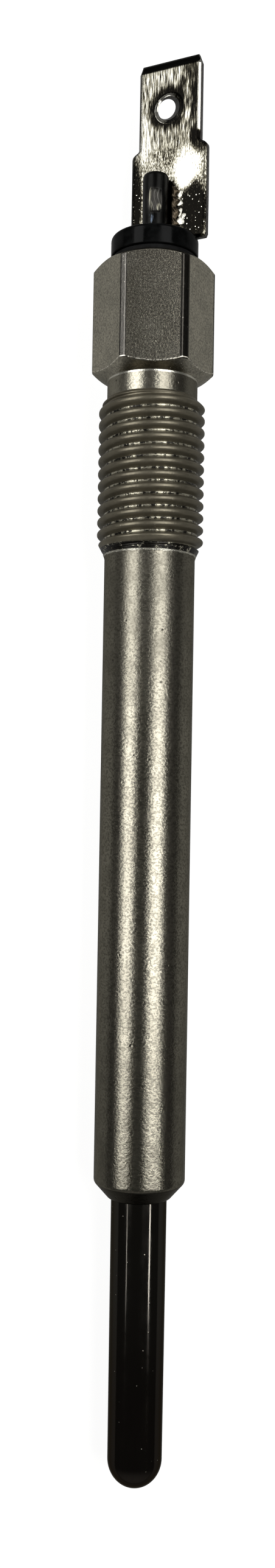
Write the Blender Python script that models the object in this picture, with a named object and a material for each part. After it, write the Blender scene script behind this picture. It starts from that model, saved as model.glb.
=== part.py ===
"""Diesel glow plug: a sheathed heater in a threaded steel body, with a blade terminal.

Every piece is turned, pressed or cut about one axis, so each is modelled upright about its own Z: z = 0 is
the head face of the hexagon, the blade stands above it and the heater hangs below. One empty then lays the
whole plug down as it comes to rest, blade towards +Y, on its thread and on the edge of its nose.
"""

import bisect
import math

import bmesh
import bpy
from mathutils import Matrix

MM = 0.001

# Clearances
FIT_GAP = 0.15 * MM  # all round, between a piece and the bore that holds it
SEAT_GAP = 0.10 * MM  # between two faces that seat on each other

# Hexagon head
HEX_FLATS = 10.0 * MM
HEX_HEIGHT = 10.95 * MM
HEX_CORNER_WIDTH = 0.53 * MM  # the narrow face that breaks each corner
HEX_FACE_DIAMETER = 8.5 * MM  # the plain ring left by the upper chamfer
HEX_CHAMFER = math.radians(30)

# Neck, barrel and nose
BODY_DIAMETER = 8.35 * MM
NECK_LENGTH = 1.75 * MM
BARREL_LENGTH = 56.6 * MM
NOSE_LENGTH = 1.45 * MM
NOSE_DIAMETER = 5.75 * MM

# Thread
THREAD_DIAMETER = 9.8 * MM
THREAD_PITCH = 1.125 * MM
THREAD_DEPTH = 0.6 * MM
THREAD_LENGTH = 15.0 * MM
THREAD_FIRST_CREST = 1.25 * MM  # below the top of the thread, on the left side
THREAD_RUNOUT = 1.8 * MM
THREAD_CREST_SHARE = 0.24  # of the pitch
THREAD_ROOT_SHARE = 0.20  # of the pitch

# Bores of the body
ROD_BORE_DIAMETER = 4.4 * MM
COUNTERBORE_DIAMETER = 6.6 * MM

# Heater sheath and what it holds
SHEATH_DIAMETER = 5.05 * MM
SHEATH_WALL = 0.45 * MM
SHEATH_REACH = 26.15 * MM  # beyond the nose
SHEATH_GRIP = 14.0 * MM  # inside the nose
SHEATH_SEAL_LENGTH = 3.0 * MM
POWDER_FLOOR = 1.3 * MM  # solid powder between the tip and the coil
COIL_WIRE = 0.35 * MM
HEATING_COIL_LENGTH = 9.0 * MM
HEATING_COIL_TURNS = 11
REGULATING_COIL_TURNS = 12

# Rod and pin
ROD_DIAMETER = 3.2 * MM
PIN_DIAMETER = 2.4 * MM
PIN_HEIGHT = 6.1 * MM  # above the bush
PIN_EDGE_RADIUS = 0.45 * MM
ROD_GRIP = 12.3 * MM  # length of the rod inside the sheath
PRESS_MARK_WIDTH = 1.3 * MM
PRESS_MARK_HEIGHT = 2.2 * MM
PRESS_MARK_DEPTH = 0.12 * MM
PRESS_MARK_ABOVE_BUSH = 3.3 * MM

# Bush, washer and seal in the head
BUSH_DIAMETER = 8.1 * MM
BUSH_FLANGE = 1.8 * MM
BUSH_EDGE_RADIUS = 0.40 * MM
BUSH_SKIRT = 2.2 * MM
WASHER_THICKNESS = 0.4 * MM
WASHER_DIAMETER = 7.9 * MM

# Blade terminal
BLADE_THICKNESS = 0.8 * MM
BLADE_WIDTH = 6.3 * MM
BLADE_LENGTH = 8.1 * MM
BLADE_TIP_TAPER = 0.85 * MM
BLADE_TIP_INSET = 0.3 * MM
BLADE_TIP_THICKNESS = 0.4 * MM
ROOT_WIDTH = 7.7 * MM
ROOT_LENGTH = 9.1 * MM
ROOT_CORNER = 0.35 * MM
SHOULDER_SLOPE = 0.3 * MM
BLADE_EDGE = 0.16 * MM  # broken edge along the sides
BLADE_OFFSET = 0.8 * MM  # its centre line from the pin's, towards its right
BLADE_TURN = math.radians(26)
PIN_TO_BLADE = 0.9 * MM  # from the pin's axis to the blade's face
HOLE_DIAMETER = 2.2 * MM
HOLE_DISH_DIAMETER = 2.9 * MM
HOLE_DISH_DEPTH = 0.12 * MM
HOLE_BELOW_TIP = 4.5 * MM
HOLE_OFFSET = 0.15 * MM  # from the centre line of the blade, towards its left

# Weld bead beside the pin
WELD_LENGTH = 4.2 * MM
WELD_ABOVE_BUSH = 1.0 * MM
WELD_WIDTH = 1.0 * MM
WELD_HEIGHT = 0.45 * MM
WELD_LOBES = 4
WELD_LOBE_SWELL = 0.22  # of the width

# Facets
ROUND_STEPS = 40
SMALL_STEPS = 28
EDGE_STEPS = 4
COIL_STEPS_PER_TURN = 12

# Heights that follow from the sizes above
HEX_BASE = -HEX_HEIGHT
THREAD_TOP = HEX_BASE - NECK_LENGTH
THREAD_END = THREAD_TOP - THREAD_LENGTH
NOSE_TOP = THREAD_END - BARREL_LENGTH
NOSE_END = NOSE_TOP - NOSE_LENGTH
SHEATH_TIP = NOSE_END - SHEATH_REACH
SHEATH_MOUTH = NOSE_END + SHEATH_GRIP
ROD_FOOT = SHEATH_MOUTH - ROD_GRIP
BUSH_BASE = SEAT_GAP + WASHER_THICKNESS + SEAT_GAP
BUSH_TOP = BUSH_BASE + BUSH_FLANGE
SKIRT_END = BUSH_BASE - BUSH_SKIRT
PIN_TOP = BUSH_TOP + PIN_HEIGHT
BLADE_FOOT = BUSH_TOP + SEAT_GAP
SHOULDER = BLADE_FOOT + ROOT_LENGTH
BLADE_TIP = SHOULDER + BLADE_LENGTH

# Radii that follow from the sizes above
BODY_RADIUS = BODY_DIAMETER / 2
THREAD_RADIUS = THREAD_DIAMETER / 2
PIN_RADIUS = PIN_DIAMETER / 2
SHEATH_BORE_RADIUS = SHEATH_DIAMETER / 2 - SHEATH_WALL
POWDER_RADIUS = SHEATH_BORE_RADIUS - FIT_GAP
POWDER_BORE_RADIUS = PIN_RADIUS + FIT_GAP
POWDER_POST_RADIUS = PIN_RADIUS - COIL_WIRE - FIT_GAP
COIL_FLOOR = SHEATH_TIP + SHEATH_WALL + FIT_GAP + POWDER_FLOOR
SEAL_SECTION = (COUNTERBORE_DIAMETER - ROD_DIAMETER) / 2 - 2 * FIT_GAP
COUNTERBORE_FLOOR = SKIRT_END - SEAT_GAP - SEAL_SECTION - SEAT_GAP
OVERRUN = 1.0 * MM  # how far a cutter runs past the wall that it cuts


def clear_scene():
    for obj in list(bpy.data.objects):
        bpy.data.objects.remove(obj, do_unlink=True)


def material(name, colour, roughness, metallic):
    made = bpy.data.materials.new(name)
    made.use_nodes = True
    shader = made.node_tree.nodes["Principled BSDF"]
    shader.inputs["Base Color"].default_value = (*colour, 1.0)
    shader.inputs["Roughness"].default_value = roughness
    shader.inputs["Metallic"].default_value = metallic
    return made


def add_object(name, mesh, finish=None):
    obj = bpy.data.objects.new(name, mesh)
    bpy.context.scene.collection.objects.link(obj)
    if finish is not None:
        obj.data.materials.append(finish)
    return obj


def mesh_of(name, points, faces):
    mesh = bpy.data.meshes.new(name)
    mesh.from_pydata(points, [], faces)
    return mesh


def arc(centre_r, centre_z, radius, start, end, steps):
    """Profile points on an arc, from one angle to another; 0 points outwards and 90 degrees upwards."""
    points = []
    for step in range(steps + 1):
        angle = math.radians(start + (end - start) * step / steps)
        points.append((centre_r + radius * math.cos(angle), centre_z + radius * math.sin(angle)))
    return points


def turned(name, profile, finish=None, steps=ROUND_STEPS, ring=False):
    """Turns a profile of (radius, height) points, which runs down its outer side, about Z.

    A ring's profile is closed. Any other starts and ends on the axis.
    """
    edges = [(i, i + 1) for i in range(len(profile) - 1)]
    if ring:
        edges.append((len(profile) - 1, 0))
    mesh = bpy.data.meshes.new(name)
    mesh.from_pydata([(radius, 0.0, height) for radius, height in profile], edges, [])
    obj = add_object(name, mesh, finish)
    screw = obj.modifiers.new("turn", "SCREW")
    screw.axis = "Z"
    screw.angle = math.tau
    screw.steps = steps
    screw.render_steps = steps
    screw.use_merge_vertices = True
    screw.merge_threshold = 0.001 * MM
    screw.use_smooth_shade = True
    return obj


def as_cutter(obj):
    obj.hide_render = True
    obj.display_type = "WIRE"
    return obj


def boolean(obj, operation, other):
    modifier = obj.modifiers.new(other.name, "BOOLEAN")
    modifier.operation = operation
    modifier.object = as_cutter(other)


def box_mesh(name, low, high):
    made = bmesh.new()
    size = [b - a for a, b in zip(low, high)]
    middle = [(a + b) / 2 for a, b in zip(low, high)]
    place = Matrix.Translation(middle) @ Matrix.Diagonal((*size, 1.0))
    bmesh.ops.create_cube(made, size=1.0, matrix=place)
    mesh = bpy.data.meshes.new(name)
    made.to_mesh(mesh)
    made.free()
    return mesh


def thread_height(turns):
    """Height of the crest line after so many turns, counted from the right side, on a right-hand helix."""
    half_turn = 0.5
    start = THREAD_TOP - THREAD_FIRST_CREST - half_turn * THREAD_PITCH
    return start + turns * THREAD_PITCH


THREAD_KNOTS = (
    (0.0, 1.0),
    (THREAD_CREST_SHARE / 2, 1.0),
    (0.5 - THREAD_ROOT_SHARE / 2, 0.0),
    (0.5 + THREAD_ROOT_SHARE / 2, 0.0),
    (1.0 - THREAD_CREST_SHARE / 2, 1.0),
    (1.0, 1.0),
)


def thread_profile(phase):
    """Share of the thread's depth at a phase from crest (0) to the next crest (1): straight flanks."""
    phase %= 1.0
    after = min(bisect.bisect_right([knot[0] for knot in THREAD_KNOTS], phase), len(THREAD_KNOTS) - 1)
    (x0, y0), (x1, y1) = THREAD_KNOTS[after - 1], THREAD_KNOTS[after]
    return y0 + (y1 - y0) * (phase - x0) / (x1 - x0)


def thread_radius(turn, height):
    """Radius of the threaded length at a turn (0 to 1, from +X towards +Y) and a height.

    The thread's own form, kept under a 45-degree lead-in above and the long run-out below.
    """
    phase = turn - (height - thread_height(0.0)) / THREAD_PITCH
    form = THREAD_RADIUS - THREAD_DEPTH + THREAD_DEPTH * thread_profile(phase)
    lead_in = BODY_RADIUS + (THREAD_TOP - height)
    rise = (THREAD_RADIUS - BODY_RADIUS) / THREAD_RUNOUT
    runout = BODY_RADIUS + (height - THREAD_END) * rise
    return max(BODY_RADIUS, min(form, lead_in, runout))


def thread_rows(turn):
    """Heights of the grid's rows at a turn: four for each pitch, on the corners of the thread's form."""
    corners = (knot[0] for knot in THREAD_KNOTS[1:-1])
    turns_down = int(THREAD_LENGTH / THREAD_PITCH) + 4
    offsets = [k + corner for corner in corners for k in range(turns_down)]
    heights = [thread_height(turn) + 2 * THREAD_PITCH - offset * THREAD_PITCH for offset in sorted(offsets)]
    return [min(max(height, THREAD_END), THREAD_TOP) for height in heights]


def shank(name):
    """The turned outside below the head: neck, thread, barrel and nose, as one closed grid of columns.

    The rows of the threaded length follow the helix. They are held between its two ends, where they meet,
    and the last column repeats the first one turn on, so merging the doubles closes the grid.
    """
    points, faces = [], []
    top = HEX_BASE + HEX_HEIGHT / 3
    columns = []
    for column in range(ROUND_STEPS + 1):
        turn = column / ROUND_STEPS
        heights = thread_rows(turn)
        line = [(0.0, top), (BODY_RADIUS, top), (BODY_RADIUS, THREAD_TOP)]
        line += [(thread_radius(turn, height), height) for height in heights]
        line += [(BODY_RADIUS, THREAD_END), (BODY_RADIUS, NOSE_TOP)]
        line += [(NOSE_DIAMETER / 2, NOSE_END), (0.0, NOSE_END)]
        angle = math.tau * turn
        first = len(points)
        points += [(r * math.cos(angle), r * math.sin(angle), z) for r, z in line]
        columns.append(range(first, len(points)))
    for here, there in zip(columns, columns[1:]):
        for k in range(len(here) - 1):
            faces.append((here[k], here[k + 1], there[k + 1], there[k]))
    mesh = mesh_of(name, points, faces)
    made = bmesh.new()
    made.from_mesh(mesh)
    bmesh.ops.remove_doubles(made, verts=made.verts, dist=0.0002 * MM)
    bmesh.ops.dissolve_degenerate(made, dist=0.0001 * MM, edges=made.edges)
    made.to_mesh(mesh)
    made.free()
    return add_object(name, mesh)


def hexagon_outline():
    """A hexagon with one flat to the front and each corner broken by a narrow face."""
    side = HEX_FLATS / math.sqrt(3)
    along = side / 2 - HEX_CORNER_WIDTH / math.sqrt(3)
    outline = []
    for flat in range(6):
        angle = math.radians(60 * flat - 90)
        for step in (-along, along):
            x = HEX_FLATS / 2 * math.cos(angle) - step * math.sin(angle)
            y = HEX_FLATS / 2 * math.sin(angle) + step * math.cos(angle)
            outline.append((x, y))
    return outline


def prism_mesh(name, outline, low, high):
    made = bmesh.new()
    face = made.faces.new([made.verts.new((x, y, low)) for x, y in outline])
    raised = bmesh.ops.extrude_face_region(made, geom=[face])["geom"]
    verts = [item for item in raised if isinstance(item, bmesh.types.BMVert)]
    bmesh.ops.translate(made, verts=verts, vec=(0, 0, high - low))
    bmesh.ops.recalc_face_normals(made, faces=made.faces)
    mesh = bpy.data.meshes.new(name)
    made.to_mesh(mesh)
    made.free()
    return mesh


def housing(finish):
    """Hexagon bar, chamfered by a turned envelope, joined to the shank and bored through."""
    body = add_object(
        "housing", prism_mesh("housing", hexagon_outline(), HEX_BASE - OVERRUN, OVERRUN), finish
    )
    slope = math.tan(HEX_CHAMFER)
    envelope_radius = HEX_FLATS * 0.6
    face_radius = HEX_FACE_DIAMETER / 2
    base_radius = BODY_RADIUS - FIT_GAP
    envelope = [
        (0.0, 0.0),
        (face_radius, 0.0),
        (envelope_radius, -(envelope_radius - face_radius) * slope),
        (envelope_radius, HEX_BASE + (envelope_radius - BODY_RADIUS) * slope),
        (base_radius, HEX_BASE - (BODY_RADIUS - base_radius) * slope),
        (0.0, HEX_BASE - (BODY_RADIUS - base_radius) * slope),
    ]
    boolean(body, "INTERSECT", turned("head_envelope", envelope, steps=2 * ROUND_STEPS))
    boolean(body, "UNION", shank("shank"))
    step = SHEATH_MOUTH + SEAT_GAP
    sheath_hole = SHEATH_DIAMETER / 2 + SEAT_GAP
    bore = [
        (0.0, OVERRUN),
        (COUNTERBORE_DIAMETER / 2, OVERRUN),
        (COUNTERBORE_DIAMETER / 2, COUNTERBORE_FLOOR),
        (ROD_BORE_DIAMETER / 2, COUNTERBORE_FLOOR),
        (ROD_BORE_DIAMETER / 2, step),
        (sheath_hole, step),
        (sheath_hole, NOSE_END - OVERRUN),
        (0.0, NOSE_END - OVERRUN),
    ]
    boolean(body, "DIFFERENCE", turned("body_bore", bore, steps=SMALL_STEPS))
    return body


def heater_sheath(finish):
    """Tube with a half-round closed tip, open at its mouth inside the body."""
    outer = SHEATH_DIAMETER / 2
    inner = SHEATH_BORE_RADIUS
    dome = SHEATH_TIP + outer
    profile = [(inner, SHEATH_MOUTH), (outer, SHEATH_MOUTH)]
    profile += arc(0.0, dome, outer, 0, -90, 6)
    inside = arc(0.0, dome, inner, -90, 0, 5)
    profile += inside
    # The profile runs down outside and up inside, so the two ends on the axis close the tip's wall.
    return turned_shell("heater_sheath", profile, finish)


def turned_shell(name, profile, finish):
    """Turns an open cup's profile, which touches the axis twice on its way and ends where it began."""
    obj = turned(name, profile, finish, steps=ROUND_STEPS, ring=True)
    mesh = obj.data
    on_axis = [v.index for v in mesh.vertices if abs(v.co.x) < 0.0001 * MM]
    made = bmesh.new()
    made.from_mesh(mesh)
    made.verts.ensure_lookup_table()
    lone = [e for e in made.edges if all(v.index in on_axis for v in e.verts)]
    bmesh.ops.delete(made, geom=lone, context="EDGES")
    made.to_mesh(mesh)
    made.free()
    return obj


def magnesia_fill(finish):
    """Powder cup: closed round the tip, with a post inside the coils and an open mouth for the rod."""
    dome = SHEATH_TIP + SHEATH_DIAMETER / 2
    mouth = SHEATH_MOUTH - SHEATH_SEAL_LENGTH - SEAT_GAP
    post_top = ROD_FOOT - SEAT_GAP
    profile = [
        (0.0, post_top),
        (POWDER_POST_RADIUS, post_top),
        (POWDER_POST_RADIUS, COIL_FLOOR),
        (POWDER_BORE_RADIUS, COIL_FLOOR),
        (POWDER_BORE_RADIUS, mouth),
        (POWDER_RADIUS, mouth),
    ]
    profile += arc(0.0, dome, POWDER_RADIUS, 0, -90, 4)
    return turned("magnesia_fill", profile, finish, steps=SMALL_STEPS)


def coil(name, low, high, turns, finish):
    """Round wire wound on a helix between two heights, with its outside the size of the rod."""
    radius = PIN_RADIUS - COIL_WIRE / 2
    bottom, top = low + COIL_WIRE / 2 + SEAT_GAP, high - COIL_WIRE / 2 - SEAT_GAP
    curve = bpy.data.curves.new(name, "CURVE")
    curve.dimensions = "3D"
    curve.bevel_depth = COIL_WIRE / 2
    curve.bevel_resolution = 1
    curve.use_fill_caps = True
    count = turns * COIL_STEPS_PER_TURN
    spline = curve.splines.new("POLY")
    spline.points.add(count)
    for k, point in enumerate(spline.points):
        share = k / count
        angle = math.tau * turns * share
        height = bottom + (top - bottom) * share
        point.co = (radius * math.cos(angle), radius * math.sin(angle), height, 1.0)
    return add_object(name, curve, finish)


def ring(name, inner, outer, low, high, finish):
    profile = [(inner, high), (outer, high), (outer, low), (inner, low)]
    return turned(name, profile, finish, steps=SMALL_STEPS, ring=True)


def o_ring(name, mean_radius, height, section, finish):
    profile = arc(mean_radius, height, section / 2, 90, -270, 10)[:-1]
    return turned(name, profile, finish, steps=SMALL_STEPS, ring=True)


def insulator_bush(finish):
    """Flange with a rounded rim above a skirt that fits the counterbore, bored for the pin."""
    flange = BUSH_DIAMETER / 2
    skirt = COUNTERBORE_DIAMETER / 2 - FIT_GAP
    bore = PIN_RADIUS + FIT_GAP
    profile = [(bore, BUSH_TOP)]
    edge = BUSH_EDGE_RADIUS
    profile += arc(flange - edge, BUSH_TOP - edge, edge, 90, 0, EDGE_STEPS)
    profile += [(flange, BUSH_BASE), (skirt, BUSH_BASE), (skirt, SKIRT_END), (bore, SKIRT_END)]
    return turned("insulator_bush", profile, finish, ring=True)


def centre_electrode(finish):
    """Rod turned down at both ends: into the coils below, and to the terminal pin above.

    The pin is flattened behind, where the blade is welded to it, and pressed in front by the electrode.
    """
    shoulder = SKIRT_END - SEAT_GAP
    spigot_top = SHEATH_MOUTH + SEAT_GAP
    edge = PIN_EDGE_RADIUS
    profile = [(0.0, PIN_TOP)]
    profile += arc(PIN_RADIUS - edge, PIN_TOP - edge, edge, 90, 0, EDGE_STEPS)
    profile += [
        (PIN_RADIUS, shoulder),
        (ROD_DIAMETER / 2, shoulder),
        (ROD_DIAMETER / 2, spigot_top),
        (PIN_RADIUS, spigot_top),
        (PIN_RADIUS, ROD_FOOT),
        (0.0, ROD_FOOT),
    ]
    rod = turned("centre_electrode", profile, finish, steps=SMALL_STEPS)
    flat = PIN_TO_BLADE - SEAT_GAP
    low = (-PIN_DIAMETER, flat, BUSH_TOP + SEAT_GAP)
    high = (PIN_DIAMETER, flat + PIN_DIAMETER, PIN_TOP + OVERRUN)
    weld_flat = add_object("weld_flat", box_mesh("weld_flat", low, high))
    weld_flat.rotation_euler.z = -BLADE_TURN
    middle = BUSH_TOP + PRESS_MARK_ABOVE_BUSH
    low = (-PRESS_MARK_WIDTH / 2, -PIN_DIAMETER, middle - PRESS_MARK_HEIGHT / 2)
    high = (PRESS_MARK_WIDTH / 2, PRESS_MARK_DEPTH - PIN_RADIUS, middle + PRESS_MARK_HEIGHT / 2)
    press_mark = add_object("press_mark", box_mesh("press_mark", low, high))
    boolean(rod, "DIFFERENCE", weld_flat)
    boolean(rod, "DIFFERENCE", press_mark)
    return rod


def blade_section(half_width, half_thickness):
    """Outline across the blade, with its four edges broken, anticlockwise from above."""
    edge = BLADE_EDGE
    u, w = half_width, half_thickness
    quarter = [(u - edge, -w), (u, edge - w), (u, w - edge), (u - edge, w)]
    return quarter + [(-x, -y) for x, y in quarter]


def spade_terminal(finish):
    """Blade lofted through its sections from foot to tip, then pierced and dished for the locking dimple."""
    thick = BLADE_THICKNESS / 2
    levels = [
        (BLADE_FOOT, ROOT_WIDTH / 2 - ROOT_CORNER, thick),
        (BLADE_FOOT + ROOT_CORNER, ROOT_WIDTH / 2, thick),
        (SHOULDER - SHOULDER_SLOPE, ROOT_WIDTH / 2, thick),
        (SHOULDER, BLADE_WIDTH / 2, thick),
        (BLADE_TIP - BLADE_TIP_TAPER, BLADE_WIDTH / 2, thick),
        (BLADE_TIP, BLADE_WIDTH / 2 - BLADE_TIP_INSET, BLADE_TIP_THICKNESS / 2),
    ]
    across = PIN_TO_BLADE + thick
    made = bmesh.new()
    rings = []
    for height, half_width, half_thickness in levels:
        outline = blade_section(half_width, half_thickness)
        rings.append([made.verts.new((x + BLADE_OFFSET, y + across, height)) for x, y in outline])
    made.faces.new(reversed(rings[0]))
    made.faces.new(rings[-1])
    for below, above in zip(rings, rings[1:]):
        for k in range(len(below)):
            after = (k + 1) % len(below)
            made.faces.new((below[k], below[after], above[after], above[k]))
    mesh = bpy.data.meshes.new("spade_terminal")
    made.to_mesh(mesh)
    made.free()
    blade = add_object("spade_terminal", mesh, finish)
    blade.rotation_euler.z = -BLADE_TURN

    hole, dish = HOLE_DIAMETER / 2, HOLE_DISH_DIAMETER / 2
    flare = (dish - hole) / HOLE_DISH_DEPTH
    wide = dish + OVERRUN * flare
    profile = [
        (0.0, thick + OVERRUN),
        (wide, thick + OVERRUN),
        (hole, thick - HOLE_DISH_DEPTH),
        (hole, HOLE_DISH_DEPTH - thick),
        (wide, -thick - OVERRUN),
        (0.0, -thick - OVERRUN),
    ]
    cutter = turned("terminal_hole", profile, steps=SMALL_STEPS)
    turn = Matrix.Rotation(-BLADE_TURN, 4, "Z")
    place = Matrix.Translation((BLADE_OFFSET - HOLE_OFFSET, across, BLADE_TIP - HOLE_BELOW_TIP))
    cutter.matrix_world = turn @ place @ Matrix.Rotation(math.pi / 2, 4, "X")
    boolean(blade, "DIFFERENCE", cutter)
    return blade


def terminal_weld(finish):
    """Flattened bead between pin and blade, whose outer side swells into a row of lobes."""
    rows, around = 6 * WELD_LOBES, 10
    inner_side = PIN_RADIUS + SEAT_GAP
    back = PIN_TO_BLADE - SEAT_GAP
    low = BUSH_TOP + WELD_ABOVE_BUSH
    points = []
    for row in range(rows + 1):
        share = row / rows
        taper = math.sqrt(max(0.0, 1 - (2 * share - 1) ** 6))
        swell = 1 - WELD_LOBE_SWELL * (1 + math.cos(math.tau * WELD_LOBES * share))
        half = WELD_WIDTH / 2 * max(taper, 0.3) * swell
        rise = WELD_HEIGHT * max(taper, 0.3) * (0.7 + 0.3 * swell)
        for side in range(around):
            angle = math.pi * side / (around - 1)
            x = inner_side + half - half * math.cos(angle)
            y = back - rise * math.sin(angle)
            points.append((x, y, low + WELD_LENGTH * share))
    faces = [tuple(range(around)), tuple(reversed(range(rows * around, (rows + 1) * around)))]
    for row in range(rows):
        for side in range(around):
            after = (side + 1) % around
            a, b = row * around + side, row * around + after
            faces.append((b, a, a + around, b + around))
    bead = add_object("terminal_weld", mesh_of("terminal_weld", points, faces), finish)
    bead.rotation_euler.z = -BLADE_TURN
    made = bmesh.new()
    made.from_mesh(bead.data)
    bmesh.ops.recalc_face_normals(made, faces=made.faces)
    made.to_mesh(bead.data)
    made.free()
    return bead


def lay_down(pieces):
    """Lays the plug along Y with the bar's front flat upwards, resting on its last full crest and its nose.

    The body is thicker at the thread, so its axis slopes down towards the tip by a fraction of a degree.
    """
    last_crest = THREAD_END + THREAD_RUNOUT
    slope = math.atan2(THREAD_RADIUS - BODY_RADIUS, last_crest - NOSE_TOP)
    middle = (BLADE_TIP + SHEATH_TIP) / 2
    rise = BODY_RADIUS / math.cos(slope) + (middle - NOSE_TOP) * math.sin(slope)
    lying = bpy.data.objects.new("lying", None)
    bpy.context.scene.collection.objects.link(lying)
    turn = Matrix.Rotation(slope - math.pi / 2, 4, "X")
    lying.matrix_world = Matrix.Translation((0, 0, rise)) @ turn @ Matrix.Translation((0, 0, -middle))
    for piece in pieces:
        piece.parent = lying


def main():
    clear_scene()
    nickel = material("nickel_plate", (0.42, 0.41, 0.38), 0.30, 1.0)
    bright_nickel = material("bright_nickel", (0.62, 0.60, 0.54), 0.15, 1.0)
    dark_alloy = material("sheath_alloy", (0.06, 0.055, 0.05), 0.25, 1.0)
    rod_steel = material("rod_steel", (0.09, 0.09, 0.09), 0.35, 1.0)
    heat_tint = material("heat_tint", (0.08, 0.05, 0.035), 0.45, 1.0)
    black_plastic = material("black_plastic", (0.01, 0.01, 0.012), 0.25, 0.0)
    black_rubber = material("black_rubber", (0.015, 0.015, 0.015), 0.6, 0.0)
    resistance_wire = material("resistance_wire", (0.35, 0.33, 0.30), 0.4, 1.0)
    powder = material("magnesia", (0.82, 0.81, 0.78), 0.9, 0.0)

    housing(nickel)
    heater_sheath(dark_alloy)
    magnesia_fill(powder)
    coil_join = COIL_FLOOR + HEATING_COIL_LENGTH
    coil("heating_coil", COIL_FLOOR, coil_join, HEATING_COIL_TURNS, resistance_wire)
    coil("regulating_coil", coil_join, ROD_FOOT, REGULATING_COIL_TURNS, resistance_wire)
    seal_low = SHEATH_MOUTH - SHEATH_SEAL_LENGTH
    ring("sheath_seal", POWDER_BORE_RADIUS, POWDER_RADIUS, seal_low, SHEATH_MOUTH, black_rubber)
    centre_electrode(rod_steel)
    seal_radius = (COUNTERBORE_DIAMETER + ROD_DIAMETER) / 4
    seal_height = COUNTERBORE_FLOOR + SEAT_GAP + SEAL_SECTION / 2
    o_ring("head_seal", seal_radius, seal_height, SEAL_SECTION, black_rubber)
    washer_bore = COUNTERBORE_DIAMETER / 2
    ring("seat_washer", washer_bore, WASHER_DIAMETER / 2, SEAT_GAP, SEAT_GAP + WASHER_THICKNESS, black_rubber)
    insulator_bush(black_plastic)
    spade_terminal(bright_nickel)
    terminal_weld(heat_tint)
    lay_down([obj for obj in bpy.data.objects if obj.parent is None])


main()
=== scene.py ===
"""Diesel glow plug, dressed for a photograph taken from straight above.

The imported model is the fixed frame. The visible pieces are worked out again as fine surfaces with rounded
edges, in the same places and sizes, and everything gets its finish here. Shapes are described upright, about
the plug's own axis: height 0 is the head face of the hexagon, the blade stands above it, the heater hangs
below, and the front is -Y. laid_down() then puts them where the plug lies.
"""

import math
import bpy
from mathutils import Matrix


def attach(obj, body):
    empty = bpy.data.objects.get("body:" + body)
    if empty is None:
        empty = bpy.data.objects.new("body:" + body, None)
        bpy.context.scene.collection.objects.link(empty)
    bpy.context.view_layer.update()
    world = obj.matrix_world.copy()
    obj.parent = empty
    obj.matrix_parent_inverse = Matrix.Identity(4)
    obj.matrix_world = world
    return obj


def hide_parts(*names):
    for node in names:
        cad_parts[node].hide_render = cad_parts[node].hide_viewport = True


bl_info = {
    "name": "Diesel Glow Plug",
    "version": (1, 0, 0),
    "blender": (4, 5, 0),
    "location": "3D View > Sidebar > Glow Plug",
    "description": "Fine surfaces, finishes and studio for a sheathed-element glow plug",
    "category": "Object",
}

from types import SimpleNamespace

import bmesh
import bpy
import numpy as np
from bpy.props import FloatProperty, FloatVectorProperty, PointerProperty
from mathutils import Matrix, Vector

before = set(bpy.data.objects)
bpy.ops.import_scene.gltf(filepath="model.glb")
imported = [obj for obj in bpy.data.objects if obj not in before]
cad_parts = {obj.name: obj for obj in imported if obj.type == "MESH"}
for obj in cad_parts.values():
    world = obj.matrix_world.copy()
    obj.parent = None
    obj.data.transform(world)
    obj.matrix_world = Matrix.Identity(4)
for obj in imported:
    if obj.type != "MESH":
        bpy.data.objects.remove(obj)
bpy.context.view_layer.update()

MM = 0.001


# Settings that a user would change


def length(name, description, millimetres):
    """Setting for a length, given in millimetres and kept in metres."""
    return FloatProperty(
        name=name,
        description=description,
        default=millimetres * MM,
        min=0.0,
        precision=5,
        subtype="DISTANCE",
        unit="LENGTH",
    )


def colour(name, description, default):
    """Setting for a colour."""
    return FloatVectorProperty(
        name=name, description=description, default=default, min=0.0, max=1.0, size=3, subtype="COLOR"
    )


def share(name, description, default):
    """Setting for a share between 0 and 1."""
    return FloatProperty(
        name=name, description=description, default=default, min=0.0, max=1.0, subtype="FACTOR"
    )


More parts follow.
